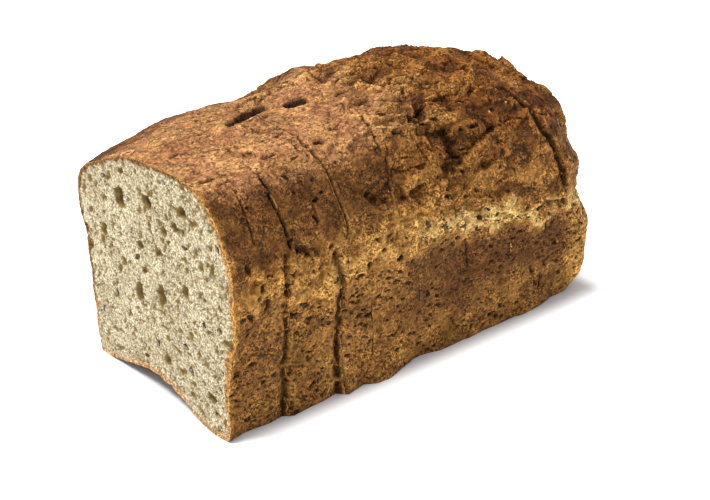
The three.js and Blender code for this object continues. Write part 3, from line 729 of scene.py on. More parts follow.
def fine_relief(p, zone):
    """All fine relief of the crust, the share of painted shade in pits, cracks, crags and marks, and the
    share of height, which the colours use for painted highlight and shade.
    """
    front, front_pit = smooth_dome(p)
    broken, broken_pit = craggy_dome(p)
    torn, torn_pit = torn_band(p)
    wall, wall_pit = tin_wall(p)
    far, near = zone["dome"] * zone["far"], zone["dome"] * (1 - zone["far"])
    calm = 1 - 0.6 * smooth(-p[:, 0], 8, 30)
    calm *= 1 - 0.65 * smooth(p[:, 1], 112, 140) * smooth(p[:, 0], 5, 25)
    marks = furrows(p + 0.5 * swirl(p, 2.5, 63), MARKS)
    wrinkled = zone["dome"] * np.clip(0.85 * zone["top"] + zone["far"], 0, 1)
    marks += wrinkled * furrows(p + 0.7 * swirl(p, 3, 64), CRACKS, 0.4)
    height = near * (front - 0.2) + far * calm * (broken - 0.7) + zone["band"] * torn + zone["wall"] * wall
    pit = near * front_pit + far * broken_pit + zone["band"] * torn_pit + zone["wall"] * wall_pit
    # Painted shade also in the crags and in the furrows of the marks.
    hollow = 0.8 * smooth(crags(p) * (1 + 0.9 * noise(p, 2.2, 67)), 0.8, 3.2)
    pit = np.clip(np.maximum(pit, np.maximum(marks / 1.5, hollow)), 0, 1)
    # The share of height drives painted highlight and shade in the colours; raised folds count as high.
    high = near * front / 0.9 + far * broken / 1.6 + zone["band"] * torn / 1.4 + zone["wall"] * wall / 0.7
    high += 1.5 * np.clip(-marks, 0, 1)
    return (height - marks) * smooth(p[:, 2], 0.2, 4), pit, np.clip(high, -1, 1)


def shut(p, cut):
    """Share to which a cut is closed at each point, from 0 to 1. On the right, seams show it instead."""
    ragged = noise(p, 5, 53) + 0.5 * noise(p, 1.8, 54)
    tight = smooth(ragged + CUT_TIGHT, -0.4, 0.3)
    if cut in WIDE_GAPS:
        tight = np.full(len(p), WIDE_SHUT)
    over_top = smooth(p[:, 2] + 4 * ragged, *SHUT_ABOVE)
    if cut in SEAM_CUTS:
        over_top = np.maximum(over_top, smooth(p[:, 0], *SEAM_SIDE))
    return np.maximum(over_top, tight)


# Crumb of the cut faces

def crumb_depth(x, z, seed, large):
    """Depth of the open crumb at points of a cut face, and its grain, with or without the listed holes."""
    flat = np.stack([x, np.full_like(x, 31.7 * seed), z], 1)
    bent = flat + 0.8 * np.stack([noise(flat, 2.2, 30), 0 * x, noise(flat, 2.2, 31)], 1)
    tall = bent * np.array([1.0, 1.0, 0.8])
    depth = 1.1 * pits(tall, 6.5, 0.6, 0.8, 2.2, 32)
    depth = np.maximum(depth, 1.0 * pits(tall, 3.0, 0.95, 0.6, 1.45, 33))
    depth = np.maximum(depth, 1.1 * pits(tall, 1.75, 0.95, 0.35, 0.95, 34))
    if large:
        for across, up, width, height in PORES + SMALLER_PORES:
            away = np.hypot((bent[:, 0] - across) / (width / 2), (bent[:, 2] - up) / (height / 2))
            hollow = PORE_DEPTH_SHARE * min(width, height) * np.sqrt(np.clip(1 - away**2, 0, 1))
            depth = np.maximum(depth, hollow)
    return depth, 0.16 * noise(flat, 0.9, 35) + 0.12 * noise(flat, 2.0, 36)


def face_rows(fine):
    """Rows of a cut face from its edge to its middle: the share of the way out, and every which point."""
    step = FACE_STEP_FINE if fine else FACE_STEP_COARSE
    coarsest = 1 if fine else 4
    skip = 1
    share = 1 - FACE_RIM
    rows = []
    while share > step:
        wanted = coarsest * 2 ** sum(share < limit for limit in FACE_HALVED)
        skip = min(2 * skip, wanted)
        rows.append((share, skip))
        share -= step
    return rows


def ring_strip(outer, inner):
    """Triangles between two rings of indices, where the inner one has as many points or half as many."""
    c, d = inner, np.roll(inner, -1)
    if len(outer) == len(inner):
        a, b = outer, np.roll(outer, -1)
        return np.concatenate([np.stack([a, b, c], 1), np.stack([b, d, c], 1)])
    a, m, b = outer[0::2], outer[1::2], np.roll(outer[0::2], -1)
    return np.concatenate([np.stack([a, m, c], 1), np.stack([m, d, c], 1), np.stack([m, b, d], 1)])


# Meshes

def new_piece(name, points, triangles, material_of, materials, attributes):
    """Closed mesh from arrays in the loaf's millimetres, with point attributes for the materials."""
    mesh = bpy.data.meshes.new(name)
    mesh.vertices.add(len(points))
    mesh.vertices.foreach_set("co", ((points + LOAF_SHIFT) * MM).astype(np.float32).ravel())
    mesh.loops.add(triangles.size)
    mesh.loops.foreach_set("vertex_index", triangles.astype(np.int32).ravel())
    mesh.polygons.add(len(triangles))
    mesh.polygons.foreach_set("loop_start", np.arange(0, triangles.size, 3, dtype=np.int32))
    for material in materials:
        mesh.materials.append(material)
    mesh.polygons.foreach_set("material_index", material_of.astype(np.int32))
    mesh.update(calc_edges=True)
    mesh.validate()
    for key, value in attributes.items():
        layer = mesh.attributes.new(key, "FLOAT", "POINT")
        layer.data.foreach_set("value", value.astype(np.float32))
    mesh.shade_smooth()
    mesh.set_sharp_from_angle(angle=SHARP_TURN)
    piece = bpy.data.objects.new(name, mesh)
    bpy.context.scene.collection.objects.link(piece)
    return piece


class Builder:
    """Gathers points, triangles and attributes of one piece."""

    def __init__(self, keys):
        self.points = []
        self.values = {key: [] for key in keys}
        self.triangles = []
        self.kinds = []
        self.count = 0

    def add_points(self, points, **values):
        start = self.count
        self.points.append(points)
        for key, rows in self.values.items():
            rows.append(np.broadcast_to(values.get(key, 0.0), (len(points),)))
        self.count += len(points)
        return np.arange(start, self.count)

    def add_triangles(self, triangles, kind, flip=False):
        self.triangles.append(triangles[:, ::-1] if flip else triangles)
        self.kinds.append(np.full(len(triangles), kind))

    def piece(self, name, materials):
        attributes = {key: np.concatenate(rows) for key, rows in self.values.items()}
        return new_piece(name, np.concatenate(self.points), np.concatenate(self.triangles),
                         np.concatenate(self.kinds), materials, attributes)


def grid_triangles(index):
    """Triangles of a closed strip of rings, from their indices as (rows, n)."""
    a, c = index[:-1], index[1:]
    b, d = np.roll(a, -1, 1), np.roll(c, -1, 1)
    return np.concatenate([np.stack([a, c, b], -1).reshape(-1, 3), np.stack([b, c, d], -1).reshape(-1, 3)])


def add_crust(builder, p, out, to_cut, roll, dark=0.0, light=0.0):
    """Crust points with all their relief, rolled in at the knife's edge. Returns their indices."""
    zone = zones(p)
    fine, pit, high = fine_relief(p, zone)
    uneven = 1 + 0.5 * noise(p, 3, 20)
    roll_in = roll * uneven * np.exp(-to_cut / (0.45 + roll)) * (1 - 0.6 * smooth(p[:, 2], 62, 80))
    seam, seam_dark, seam_light = seams(p)
    seam *= smooth(p[:, 2], 0, 3)
    moved = p + out * (large_relief(p) + fine - roll_in - seam)[:, None]
    moved[:, 2] = np.maximum(moved[:, 2], 0)
    # Painted shade where the crust rolls in at a cut, by an open back cut, and in the seams.
    pit = np.maximum(pit, 0.8 * smooth(roll_in, 0.5, 2.2))
    pit = np.maximum(pit, dark * np.exp(-to_cut / 0.45))
    pit = np.maximum(pit, seam_dark)
    crumbly = 0.3 + 0.7 * smooth(noise(p, 4, 51) + 0.6 * noise(p, 1.2, 52), -0.1, 0.6)
    jagged = to_cut + 0.3 * noise(p, 2.2, 55) + 0.2 * noise(p, 0.9, 56)
    edge = light * (1 - smooth(jagged, 0.1, 0.6)) * crumbly
    edge = np.maximum(edge, seam_light * crumbly) * (1 - pit)
    return builder.add_points(moved, pit=pit, high=high, edge=edge, rim=1.0, **zone)


def add_cut_face(builder, ring, place, lean, facing, seed, fine):
    """Crumb face over a ring of crust points. facing is -1 for a front face and 1 for a back one."""
    edge_points = np.concatenate(builder.points)[ring]
    middle = np.array(FACE_MIDDLE)
    reach = edge_points[:, [0, 2]] - middle
    span = np.linalg.norm(reach, axis=1)
    outer = ring
    for share, skip in face_rows(fine):
        flat = middle + share * reach[::skip]
        inside = (1 - share) * span[::skip]
        depth, grain = crumb_depth(flat[:, 0], flat[:, 1], seed, fine)
        held = smooth(inside, *CRUMB_FROM_EDGE)
        y = place + lean * (flat[:, 1] - KNIFE_HEIGHT) - facing * held * (depth - grain)
        if fine:
            y -= foot_push(flat[:, 0], flat[:, 1])
        points = np.stack([flat[:, 0], y, flat[:, 1]], 1)
        uneven = 0.8 * noise(points, 2.5, 37) + 0.7 * noise(points, 1.1, 38)
        start, stop = RIM_FRONT if fine else RIM_INSIDE
        wider = 1 + 0.4 * smooth(flat[:, 0], *RIM_WIDER_ACROSS)
        rim = 1 - smooth(inside + uneven, start * wider, stop * wider)
        # Share of painted shade in the pores, by their depth.
        hollow = np.clip(held * depth / CRUMB_DEEPEST, 0, 1)
        # The dark edge: on the inner faces painted shade of the gaps between slices, on the first face
        # toasted crust towards its upper left.
        toast_and_gap_shade = 1.0
        if fine:
            toast_and_gap_shade = 0.75 * (1 - smooth(flat[:, 0], *TOASTED_ACROSS)) * smooth(flat[:, 1], *TOASTED_UP)
        inner = builder.add_points(points, rim=rim, depth=hollow, inside=toast_and_gap_shade)
        builder.add_triangles(ring_strip(outer, inner), CRUMB, flip=facing > 0)
        outer = inner
    hub = (middle[0], place + lean * (middle[1] - KNIFE_HEIGHT), middle[1])
    centre = builder.add_points(np.array([hub]))
    fan = np.stack([outer, np.roll(outer, -1), np.full(len(outer), centre[0])], 1)
    builder.add_triangles(fan, CRUMB, flip=facing > 0)


def gap(cut):
    return WIDE_GAPS.get(cut, HAIRLINE)


def edge_roll(cut, rolls):
    return rolls.get(cut, HAIRLINE_ROLL) if cut else 0.0


def near_edge(away):
    """Share of a shift at the cut that is left at rows farther in."""
    return np.clip(1 - away / STRETCH, 0, 1)[:, None]


def foot_push(x, z):
    """How far the foot of the first cut face is pushed forward."""
    across = smooth(x, *FRONT_FOOT_ACROSS) * (1 - 0.4 * smooth(x, *FRONT_FOOT_CORNER))
    return FRONT_FOOT * across * (1 - smooth(z, *FRONT_FOOT_UP))


def move_feet(form):
    """Moves the foot out or in on the right along the loaf, and forward at the first cut face."""
    x, y, z = (form[..., axis].copy() for axis in range(3))
    along, size = np.array(FOOT_LINE).T
    low = smooth(x, *FOOT_LINE_ACROSS) * (1 - smooth(z, *FOOT_LINE_UP))
    form[..., 0] += low * np.interp(y, along, size)
    form[..., 1] -= foot_push(x, z) * np.clip(1 - y / CUTS[0], 0, 1)


def close_cuts(form, to_front, to_back, lean, front_cut, back_cut):
    """Moves the rows by each cut to close it where it is shut. Returns how open both cuts are."""
    back_shut = shut(form[-1], back_cut)
    missing = np.full(form.shape[1], gap(back_cut) / 2 - SHUT_GAP)
    next_lean = float(curve(LEAN, back_cut + gap(back_cut) / 2))
    if back_cut == CUTS[-1]:
        missing += gap(back_cut) / 2
        next_lean = END_PIECE_LEAN
    missing += (next_lean - lean) * (form[-1, :, 2] - KNIFE_HEIGHT)
    form[..., 1] += near_edge(to_back) * missing * back_shut
    front_shut = np.zeros(form.shape[1])
    if front_cut:
        front_shut = shut(form[0], front_cut)
        form[..., 1] -= near_edge(to_front) * (gap(front_cut) / 2 - SHUT_GAP) * front_shut
    return 1 - front_shut, 1 - back_shut


def build_slice(name, number, front_cut, back_cut, materials):
    """One slice between two cuts. The first one has no cut in front, but the loaf's own cut face."""
    front = front_cut + gap(front_cut) / 2 if front_cut else 0.0
    back = back_cut - gap(back_cut) / 2
    rows = max(4, round((back - front) / STEP_ALONG))
    places = np.linspace(front, back, rows + 1)
    lean = curve(LEAN, places)

    def lengthwise(z):
        return places[:, None] + lean[:, None] * (z - KNIFE_HEIGHT)

    form, out = crust_form(outline(places), lengthwise)
    to_front, to_back = places - front, back - places
    front_open, back_open = close_cuts(form, to_front, to_back, lean[-1], front_cut, back_cut)
    move_feet(form)
    in_front = (to_front < to_back)[:, None]
    to_cut = np.broadcast_to(np.minimum(to_front, to_back)[:, None], form.shape[:2])
    roll = np.where(in_front, edge_roll(front_cut, WIDE_ROLLS) * front_open,
                    edge_roll(back_cut, BACK_ROLLS) * back_open)
    # The crust by an open back cut gets painted shade of the gap; by an open front cut, a light crumbly
    # edge.
    dark = np.where(in_front, 0, back_open)
    light = np.where(in_front, front_open, 0)
    if not front_cut:
        light = light * smooth(form[..., 0], *FIRST_EDGE_ACROSS)
        to_cut = np.where(in_front, to_cut / FIRST_EDGE_WIDER, to_cut)
    builder = Builder(BREAD_KEYS)
    shares = [share.ravel() for share in (to_cut, roll, dark, light)]
    index = add_crust(builder, form.reshape(-1, 3), out.reshape(-1, 3), *shares)
    index = index.reshape(form.shape[:2])
    builder.add_triangles(grid_triangles(index), CRUST)
    add_cut_face(builder, index[0], front, lean[0], -1, 2 * number, number == 1)
    add_cut_face(builder, index[-1], back, lean[-1], 1, 2 * number + 1, False)
    return builder.piece(name, materials)


def surface_normals(points, triangles):
    """Directions out at the points of a mesh."""
    a, b, c = (points[triangles[:, k]] for k in range(3))
    face = np.cross(b - a, c - a)
    normal = np.zeros_like(points)
    for k in range(3):
        np.add.at(normal, triangles[:, k], face)
    return normal / np.maximum(np.linalg.norm(normal, axis=1, keepdims=True), 1e-12)


def close_end(ring, count):
    """Points and triangles that close the far end over its last ring, after count points so far."""
    ring = ring[:, [0, 2]]
    middle = ring.mean(0)
    outer = np.arange(count - len(ring), count)
    points, triangles = [], []
    for share, skip in face_rows(True):
        flat = middle + share * (ring[::skip] - middle)
        points.append(np.stack([flat[:, 0], curve(END_REACH, flat[:, 1]), flat[:, 1]], 1))
        inner = np.arange(count, count + len(flat))
        triangles.append(ring_strip(outer, inner)[:, ::-1])
        outer, count = inner, count + len(flat)
    points.append(np.array([[middle[0], float(curve(END_REACH, middle[1])), middle[1]]]))
    triangles.append(np.stack([np.roll(outer, -1), outer, np.full(len(outer), count)], 1))
    return points, triangles


def build_end_piece(name, front_cut, materials):
    """The far end behind the last cut."""
    front = front_cut + gap(front_cut) / 2
    shares = np.sin(np.linspace(0, math.pi / 2, END_PIECE_ROWS))
    places = front + (END_PLACE - front) * shares

    def lengthwise(z):
        start = front + END_PIECE_LEAN * (z - KNIFE_HEIGHT)
        return start + (curve(END_REACH, z) - start) * shares[:, None]

    form, out = crust_form(outline(places), lengthwise, END_EDGE)
    move_feet(form)
    rows, n, _ = form.shape
    index = np.arange(rows * n).reshape(rows, n)
    end_points, end_triangles = close_end(form[-1], rows * n)
    points = np.concatenate([form.reshape(-1, 3), *end_points])
    triangles = np.concatenate([grid_triangles(index), *end_triangles])
    normal = surface_normals(points, triangles)
    normal[:n] = out[0]
    to_cut = np.maximum(points[:, 1] - front - END_PIECE_LEAN * (points[:, 2] - KNIFE_HEIGHT), 0)
    builder = Builder(BREAD_KEYS)
    add_crust(builder, points, normal, to_cut, edge_roll(front_cut, WIDE_ROLLS))
    builder.add_triangles(triangles, CRUST)
    add_cut_face(builder, index[0], front, END_PIECE_LEAN, -1, 90, False)
    return builder.piece(name, materials)


# Materials

def linear(red, green, blue):
    """Colour given as 0 to 255 display values."""
    def one(v):
        v /= 255
        return v / 12.92 if v <= 0.04045 else ((v + 0.055) / 1.055) ** 2.4
    return (one(red), one(green), one(blue), 1.0)


class Nodes:
    """Short calls for building a material's node tree."""

    def __init__(self, name):
        self.material = bpy.data.materials.new(name)
        self.material.use_nodes = True
        self.tree = self.material.node_tree
        self.shader = self.tree.nodes["Principled BSDF"]
        self.place = self.new("ShaderNodeTexCoord").outputs["Object"]

    def new(self, kind, **settings):
        node = self.tree.nodes.new(kind)
        for key, value in settings.items():
            setattr(node, key, value)
        return node

    def link(self, source, target):
        self.tree.links.new(source, target)

    def value(self, key):
        return self.new("ShaderNodeAttribute", attribute_name=key).outputs["Fac"]

    def feed(self, sockets, items):
        """Each socket set to a plain value or linked to another socket."""
        for socket, item in zip(sockets, items):
            if isinstance(item, (int, float, tuple)):
                socket.default_value = item
            else:
                self.link(item, socket)

    def texture(self, kind, size_mm, place=None, **settings):
        """Random texture with cells of a size, laid out on given places or on the frame's."""
        node = self.new(kind, **settings)
        node.inputs["Scale"].default_value = 1 / (size_mm * MM)
        self.link(place or self.place, node.inputs["Vector"])
        return node

    def noise(self, size_mm, detail=3.0, rough=0.55):
        node = self.texture("ShaderNodeTexNoise", size_mm)
        self.feed((node.inputs["Detail"], node.inputs["Roughness"]), (detail, rough))
        return node.outputs["Fac"]

    def spots(self, size_mm, place=None):
        """Distance from the middles of random cells."""
        return self.texture("ShaderNodeTexVoronoi", size_mm, place).outputs["Distance"]

    def borders(self, size_mm, place):
        """Distance from the borders between random cells."""
        node = self.texture("ShaderNodeTexVoronoi", size_mm, place, feature="DISTANCE_TO_EDGE")
        return node.outputs["Distance"]

    def bend(self, size_mm, reach_mm, stretch=1.0):
        """Places bent at random and drawn out along the loaf, to lay patterns out on."""
        node = self.texture("ShaderNodeTexNoise", size_mm)
        bent = self.new("ShaderNodeVectorMath", operation="MULTIPLY_ADD")
        self.feed(bent.inputs, (node.outputs["Color"], (2 * reach_mm * MM,) * 3, self.place))
        drawn = self.new("ShaderNodeVectorMath", operation="MULTIPLY")
        self.feed(drawn.inputs, (bent.outputs["Vector"], (1.0, 1 / stretch, 1.0)))
        return drawn.outputs["Vector"]

    def axis(self, name):
        """Place along one axis of the frame in metres."""
        node = self.new("ShaderNodeSeparateXYZ")
        self.link(self.place, node.inputs["Vector"])
        return node.outputs[name]

    def ramp(self, source, low, high):
        """Smooth step from 0 at low to 1 at high."""
        node = self.new("ShaderNodeMapRange", interpolation_type="SMOOTHSTEP")
        sockets = (node.inputs[key] for key in ("Value", "From Min", "From Max"))
        self.feed(sockets, (source, low, high))
        return node.outputs["Result"]

    def mottle(self, colour, size_mm, strength, detail=4.0):
        """The colour made lighter and darker by a random pattern."""
        share = self.ramp(self.noise(size_mm, detail, 0.7), 0.36, 0.64)
        low, high = 1 - strength, 1 + strength
        return self.times_colour(colour, self.mix(share, (low, low, low, 1.0), (high, high, high, 1.0)))

    def math(self, operation, a, b=0.0):
        node = self.new("ShaderNodeMath", operation=operation)
        self.feed(node.inputs, (a, b))
        return node.outputs["Value"]

    def times(self, a, b):
        return self.math("MULTIPLY", a, b)

    def mix(self, share, a, b, blend="MIX"):
        node = self.new("ShaderNodeMix", data_type="RGBA", blend_type=blend)
        self.feed((node.inputs["Factor"], node.inputs[6], node.inputs[7]), (share, a, b))
        return node.outputs[2]

    def times_colour(self, colour, factor):
        """The colour times another."""
        return self.mix(1.0, colour, factor, "MULTIPLY")

    def tint(self, colour, share, strength, target):
        """The colour moved towards another where the share is high."""
        return self.mix(self.times(share, strength), colour, target)

    def bump(self, source, height_mm):
        node = self.new("ShaderNodeBump")
        self.feed((node.inputs["Distance"], node.inputs["Strength"]), (height_mm * MM, 1.0))
        self.link(source, node.inputs["Height"])
        self.link(node.outputs["Normal"], self.shader.inputs["Normal"])

    def surface(self, colour, roughness, shine=0.5):
        """The material, with its colour, roughness and shine."""
        sockets = (self.shader.inputs[key] for key in ("Base Color", "Roughness", "Specular IOR Level"))
        self.feed(sockets, (colour, roughness, shine))
        return self.material


def crust_skin(m, blotch, high, golden):
    """Colour of the dome: light brown on top, dark at the side, craggy and browned towards the far end."""
    # Painted highlight along the highest relief of the crest.
    crest = m.ramp(m.value("high"), 0.45, 0.95)
    top = m.mix(blotch, linear(163, 113, 74), linear(188, 138, 86))
    top = m.mix(crest, top, linear(194, 143, 88))
    side = m.mix(blotch, linear(93, 58, 23), linear(127, 83, 37))
    skin = m.mix(m.value("top"), side, top)
    # Painted shade in low relief and painted highlight on raised relief, also in the crags.
    skin = m.times_colour(skin, m.mix(high, linear(216, 206, 196), linear(255, 255, 255)))
    crags = m.mix(high, linear(81, 47, 17), linear(153, 100, 43))
    crags = m.tint(crags, crest, 0.7, linear(178, 130, 68))
    crags = m.tint(crags, blotch, 0.3, linear(91, 57, 26))
    ruddy = m.times_colour(crags, linear(244, 230, 218))
    crags = m.mix(m.ramp(m.axis("Y"), 0.012, 0.035), crags, ruddy)
    skin = m.mix(m.value("browned"), skin, crags)
    return m.tint(skin, m.value("gold"), 0.5, golden)


def crust_colour(m):
    """Colour of the crust by its kinds: dome, torn band and tin wall."""
    blotch = m.ramp(m.noise(10, 4, 0.6), 0.36, 0.64)
    # Here and below, colours mixed by the share of height get painted highlight on raised relief and
    # painted shade in low relief.
    high = m.ramp(m.value("high"), -0.7, 0.7)
    golden = m.mix(high, linear(121, 79, 31), linear(183, 131, 64))
    skin = crust_skin(m, blotch, high, golden)
    pale = m.mix(high, linear(140, 101, 46), linear(218, 181, 112))
    band = m.mix(m.value("pale"), golden, pale)
    wall = m.mix(blotch, linear(118, 78, 32), linear(157, 110, 53))
    wall = m.tint(wall, m.value("dim"), 0.9, linear(92, 54, 20))
    wall = m.mix(m.value("end"), wall, m.mix(high, linear(142, 97, 40), linear(202, 150, 74)))
    colour = m.mix(m.value("band"), skin, band)
    colour = m.mix(m.value("wall"), colour, wall)
    return m.tint(colour, m.value("fringe"), 0.5, golden)


def crust_material():
    m = Nodes("crust")
    colour = m.mottle(crust_colour(m), 3.4, 0.2)
    colour = m.mottle(colour, 1.6, 0.3)
    dome = m.value("dome")
    calm = m.ramp(m.math("SUBTRACT", m.value("top"), m.value("browned")), 2.0, 0.0)
    patch = m.times(m.ramp(m.noise(6, 3), 0.35, 0.65), calm)
    colour = m.mix(patch, colour, m.mottle(colour, 0.8, 0.65, 1))
    bent = m.bend(1.5, 0.8, 1.6)
    sponge = m.spots(1.5, bent)
    spongy = m.times(m.ramp(m.value("wall"), -0.6, 1.0), m.ramp(m.noise(8, 3), 0.34, 0.6))
    # Painted shade in the wall's spongy pinholes.
    dots = m.times(m.ramp(sponge, 0.4, 0.2), spongy)
    colour = m.tint(colour, dots, 0.8, linear(48, 29, 12))
    # Painted highlight on the rims between the cells; the same rims also raise the bump.
    ridge = m.ramp(sponge, 0.5, 0.8)
    colour = m.tint(colour, ridge, 0.6, m.times_colour(colour, (1.5, 1.5, 1.45, 1.0)))
    # Painted shade in thin cracks and fissures over the dome.
    crack = m.times(m.ramp(m.borders(5, bent), 0.06, 0.0), m.ramp(m.noise(8, 2), 0.45, 0.6))
    crack = m.times(crack, dome)
    colour = m.tint(colour, crack, 0.7, linear(60, 36, 16))
    fissure = m.times(m.ramp(m.borders(2.8, bent), 0.13, 0.02), m.ramp(m.noise(2.4, 2), 0.5, 0.6))
    fissure = m.times(fissure, dome)
    colour = m.tint(colour, fissure, 0.55, linear(70, 42, 20))
    glint = m.times(m.ramp(m.spots(1.2), 0.3, 0.12), m.ramp(m.noise(5, 2), 0.48, 0.6))
    colour = m.tint(colour, glint, dome, m.times_colour(colour, (1.55, 1.55, 1.55, 1.0)))
    # Painted shade in pits, cracks, crags and seams, and where the crust rolls in by a cut.
    colour = m.tint(colour, m.ramp(m.value("pit"), 0.0, 1.0), 0.9, linear(32, 19, 8))
    colour = m.tint(colour, m.value("edge"), 0.75, m.mottle(linear(206, 150, 78), 0.9, 0.6, 1))
    height = m.math("ADD", m.times(m.noise(0.9, 3, 0.6), 1.2), m.times(ridge, 0.3))
    height = m.math("SUBTRACT", height, m.times(m.math("ADD", dots, crack), 0.5))
    height = m.math("SUBTRACT", m.times(height, calm), m.times(fissure, 0.5))
    m.bump(height, 0.8)
    return m.surface(colour, 0.7, 0.12)


def crumb_material():
    m = Nodes("crumb")
    cloud = m.ramp(m.noise(9, 3), 0.35, 0.65)
    colour = m.mix(cloud, linear(182, 167, 134), linear(200, 186, 153))
    lighter = m.times_colour(colour, (1.07, 1.07, 1.1, 1.0))
    colour = m.mix(m.ramp(m.axis("Z"), 0.0, 0.1), lighter, colour)
    colour = m.mottle(colour, 1.4, 0.2)
    colour = m.mottle(colour, 0.8, 0.42, 1)
    # Painted shade of small pores: dark dots and specks.
    dots = m.ramp(m.spots(1.8, m.bend(1.2, 0.25)), 0.45, 0.1)
    colour = m.tint(colour, dots, 0.6, linear(120, 100, 62))
    specks = m.times(m.ramp(m.spots(1.35), 0.4, 0.2), m.ramp(m.noise(7, 3), 0.35, 0.6))
    colour = m.tint(colour, specks, 0.85, linear(96, 78, 45))
    # Painted shade in the pores, darker where they are deeper.
    colour = m.mix(m.ramp(m.value("depth"), 0.015, 0.2), colour, linear(140, 117, 70))
    colour = m.tint(colour, m.ramp(m.value("depth"), 0.3, 0.95), 0.85, linear(58, 45, 22))
    # The cut faces' brown edge, dark where inside is high: painted shade of the gaps on inner faces,
    # toasted crust on the first face.
    rim = m.mix(m.value("inside"), linear(176, 127, 66), linear(78, 50, 22))
    base = m.times(m.ramp(m.axis("Z"), 0.014, 0.006), m.ramp(m.value("inside"), 0.3, 0.0))
    rim = m.mix(base, rim, linear(196, 153, 104))
    rim = m.mottle(m.mottle(rim, 1.6, 0.35), 0.9, 0.5, 1)
    colour = m.mix(m.ramp(m.value("rim"), 0.1, 0.9), colour, rim)
    m.bump(m.noise(0.9, 4, 0.7), 0.6)
    return m.surface(colour, 0.85, 0.1)


def seed_material():
    m = Nodes("flaxseed")
    coat = m.mix(m.ramp(m.noise(3.0, 2), 0.35, 0.65), linear(44, 32, 18), linear(84, 64, 38))
    return m.surface(m.mix(m.value("kernel"), coat, linear(168, 158, 138)), 0.6, 0.15)


def fleck_material():
    m = Nodes("fleck")
    colour = m.mix(m.ramp(m.noise(2.0, 2), 0.35, 0.65), linear(186, 144, 84), linear(214, 178, 120))
    return m.surface(colour, 0.8)


# Flaxseeds and flecks

def seed_shape():
    """One flaxseed lying flat with its tip towards +x, as points, triangles and kernel shares."""
    along, around = 9, 10
    points, kernel = [], []
    for i in range(1, along):
        t = i / along
        half = SEED_WIDTH / 2 * math.sin(math.pi * t ** 0.8) ** 0.75
        for j in range(around):
            turn = 2 * math.pi * j / around
            z = SEED_THICKNESS / 2 * math.sin(turn) * half / (SEED_WIDTH / 2)
            points.append((SEED_LENGTH * (t - 0.5), half * math.cos(turn), z))
            kernel.append(1.0 if math.sin(turn) > 0.7 and 0.2 < t < 0.8 else 0.0)
    points += [(-SEED_LENGTH / 2, 0, 0), (SEED_LENGTH / 2, 0, 0)]
    kernel += [0.0, 0.0]
    index = np.arange((along - 1) * around).reshape(along - 1, around)
    tail = np.stack([index[0], np.roll(index[0], -1), np.full(around, index.size)], 1)
    tip = np.stack([np.roll(index[-1], -1), index[-1], np.full(around, index.size + 1)], 1)
    triangles = np.concatenate([grid_triangles(index)[:, ::-1], tail[:, ::-1], tip[:, ::-1]])
    return np.array(points), triangles, np.array(kernel)


def fleck_shape():
    """One small crumb as an eight-sided lump."""
    points = np.array([(1, 0, 0), (-1, 0, 0), (0, 1, 0), (0, -1, 0), (0, 0, 1), (0, 0, -1)], float)
    upper = [(0, 2, 4), (2, 1, 4), (1, 3, 4), (3, 0, 4)]
    lower = [(2, 0, 5), (1, 2, 5), (3, 1, 5), (0, 3, 5)]
    triangles = np.array(upper + lower)
    return points, triangles, np.zeros(len(points))


def frame_on(normal, turn):
    """Axes with z along a normal, turned about it."""
    side = np.cross(normal, (0.3, 0.5, 0.8))
    side /= np.linalg.norm(side)
    up = np.cross(normal, side)
    x = math.cos(turn) * side + math.sin(turn) * up
    return np.stack([x, np.cross(normal, x), normal])


def scatter_shapes(name, shape, places, material):
    """One piece of many copies of a shape, each with its point, normal, turn, size and kernel share."""
    points, triangles, kernel = shape
    builder = Builder(SEED_KEYS)
    for point, normal, turn, size, share in places:
        axes = frame_on(np.asarray(normal) / np.linalg.norm(normal), turn)
        index = builder.add_points(np.asarray(point) + (points * size) @ axes, kernel=kernel * share)
        builder.add_triangles(triangles + index[0], 0)
    piece = builder.piece(name, [material])
    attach(piece, "root")
    return piece


# Stage, light and camera

def add_floor():
    """White ground with painted light: it glows away from the loaf, so only a narrow shadow stays by its
    foot.
    """
    mesh = bpy.data.meshes.new("floor")
    corners = [(-FLOOR_HALF, -FLOOR_HALF, 0), (FLOOR_HALF, -FLOOR_HALF, 0), (FLOOR_HALF, FLOOR_HALF, 0),
               (-FLOOR_HALF, FLOOR_HALF, 0)]
    mesh.from_pydata(corners, [], [(0, 1, 2, 3)])
    floor = bpy.data.objects.new("floor", mesh)
    bpy.context.scene.collection.objects.link(floor)
    m = Nodes("floor")
    beyond = []
    for axis, middle, half in (("X", *FOOT_ACROSS), ("Y", *FOOT_ALONG)):
        away = m.math("ABSOLUTE", m.math("SUBTRACT", m.axis(axis), middle))
        away = m.math("MAXIMUM", m.math("SUBTRACT", away, half), 0)
        beyond.append(m.times(away, away))
    distance = m.math("SQRT", m.math("ADD", *beyond))
    glow = m.times(m.ramp(distance, 0.0, FLOOR_GLOW_REACH), FLOOR_GLOW)
    m.link(glow, m.shader.inputs["Emission Strength"])
    m.shader.inputs["Emission Color"].default_value = (1, 1, 1, 1)
    mesh.materials.append(m.surface(FLOOR_COLOUR, 0.9, 0.1))


def add_light():
    world = bpy.data.worlds.new("studio")
    world.use_nodes = True
    surround = world.node_tree.nodes["Background"]
    surround.inputs["Color"].default_value = (1, 1, 1, 1)
    surround.inputs["Strength"].default_value = SURROUND
    bpy.context.scene.world = world
    light = bpy.data.lights.new("key", "AREA")
    light.shape = "DISK"
    light.size = LAMP_SIZE
    light.energy = LAMP_POWER
    lamp = bpy.data.objects.new("key", light)
    lamp.location = LAMP_PLACE
    aim = Vector(LAMP_AIM) - Vector(LAMP_PLACE)
    lamp.rotation_euler = aim.to_track_quat("-Z", "Y").to_euler()
    bpy.context.scene.collection.objects.link(lamp)


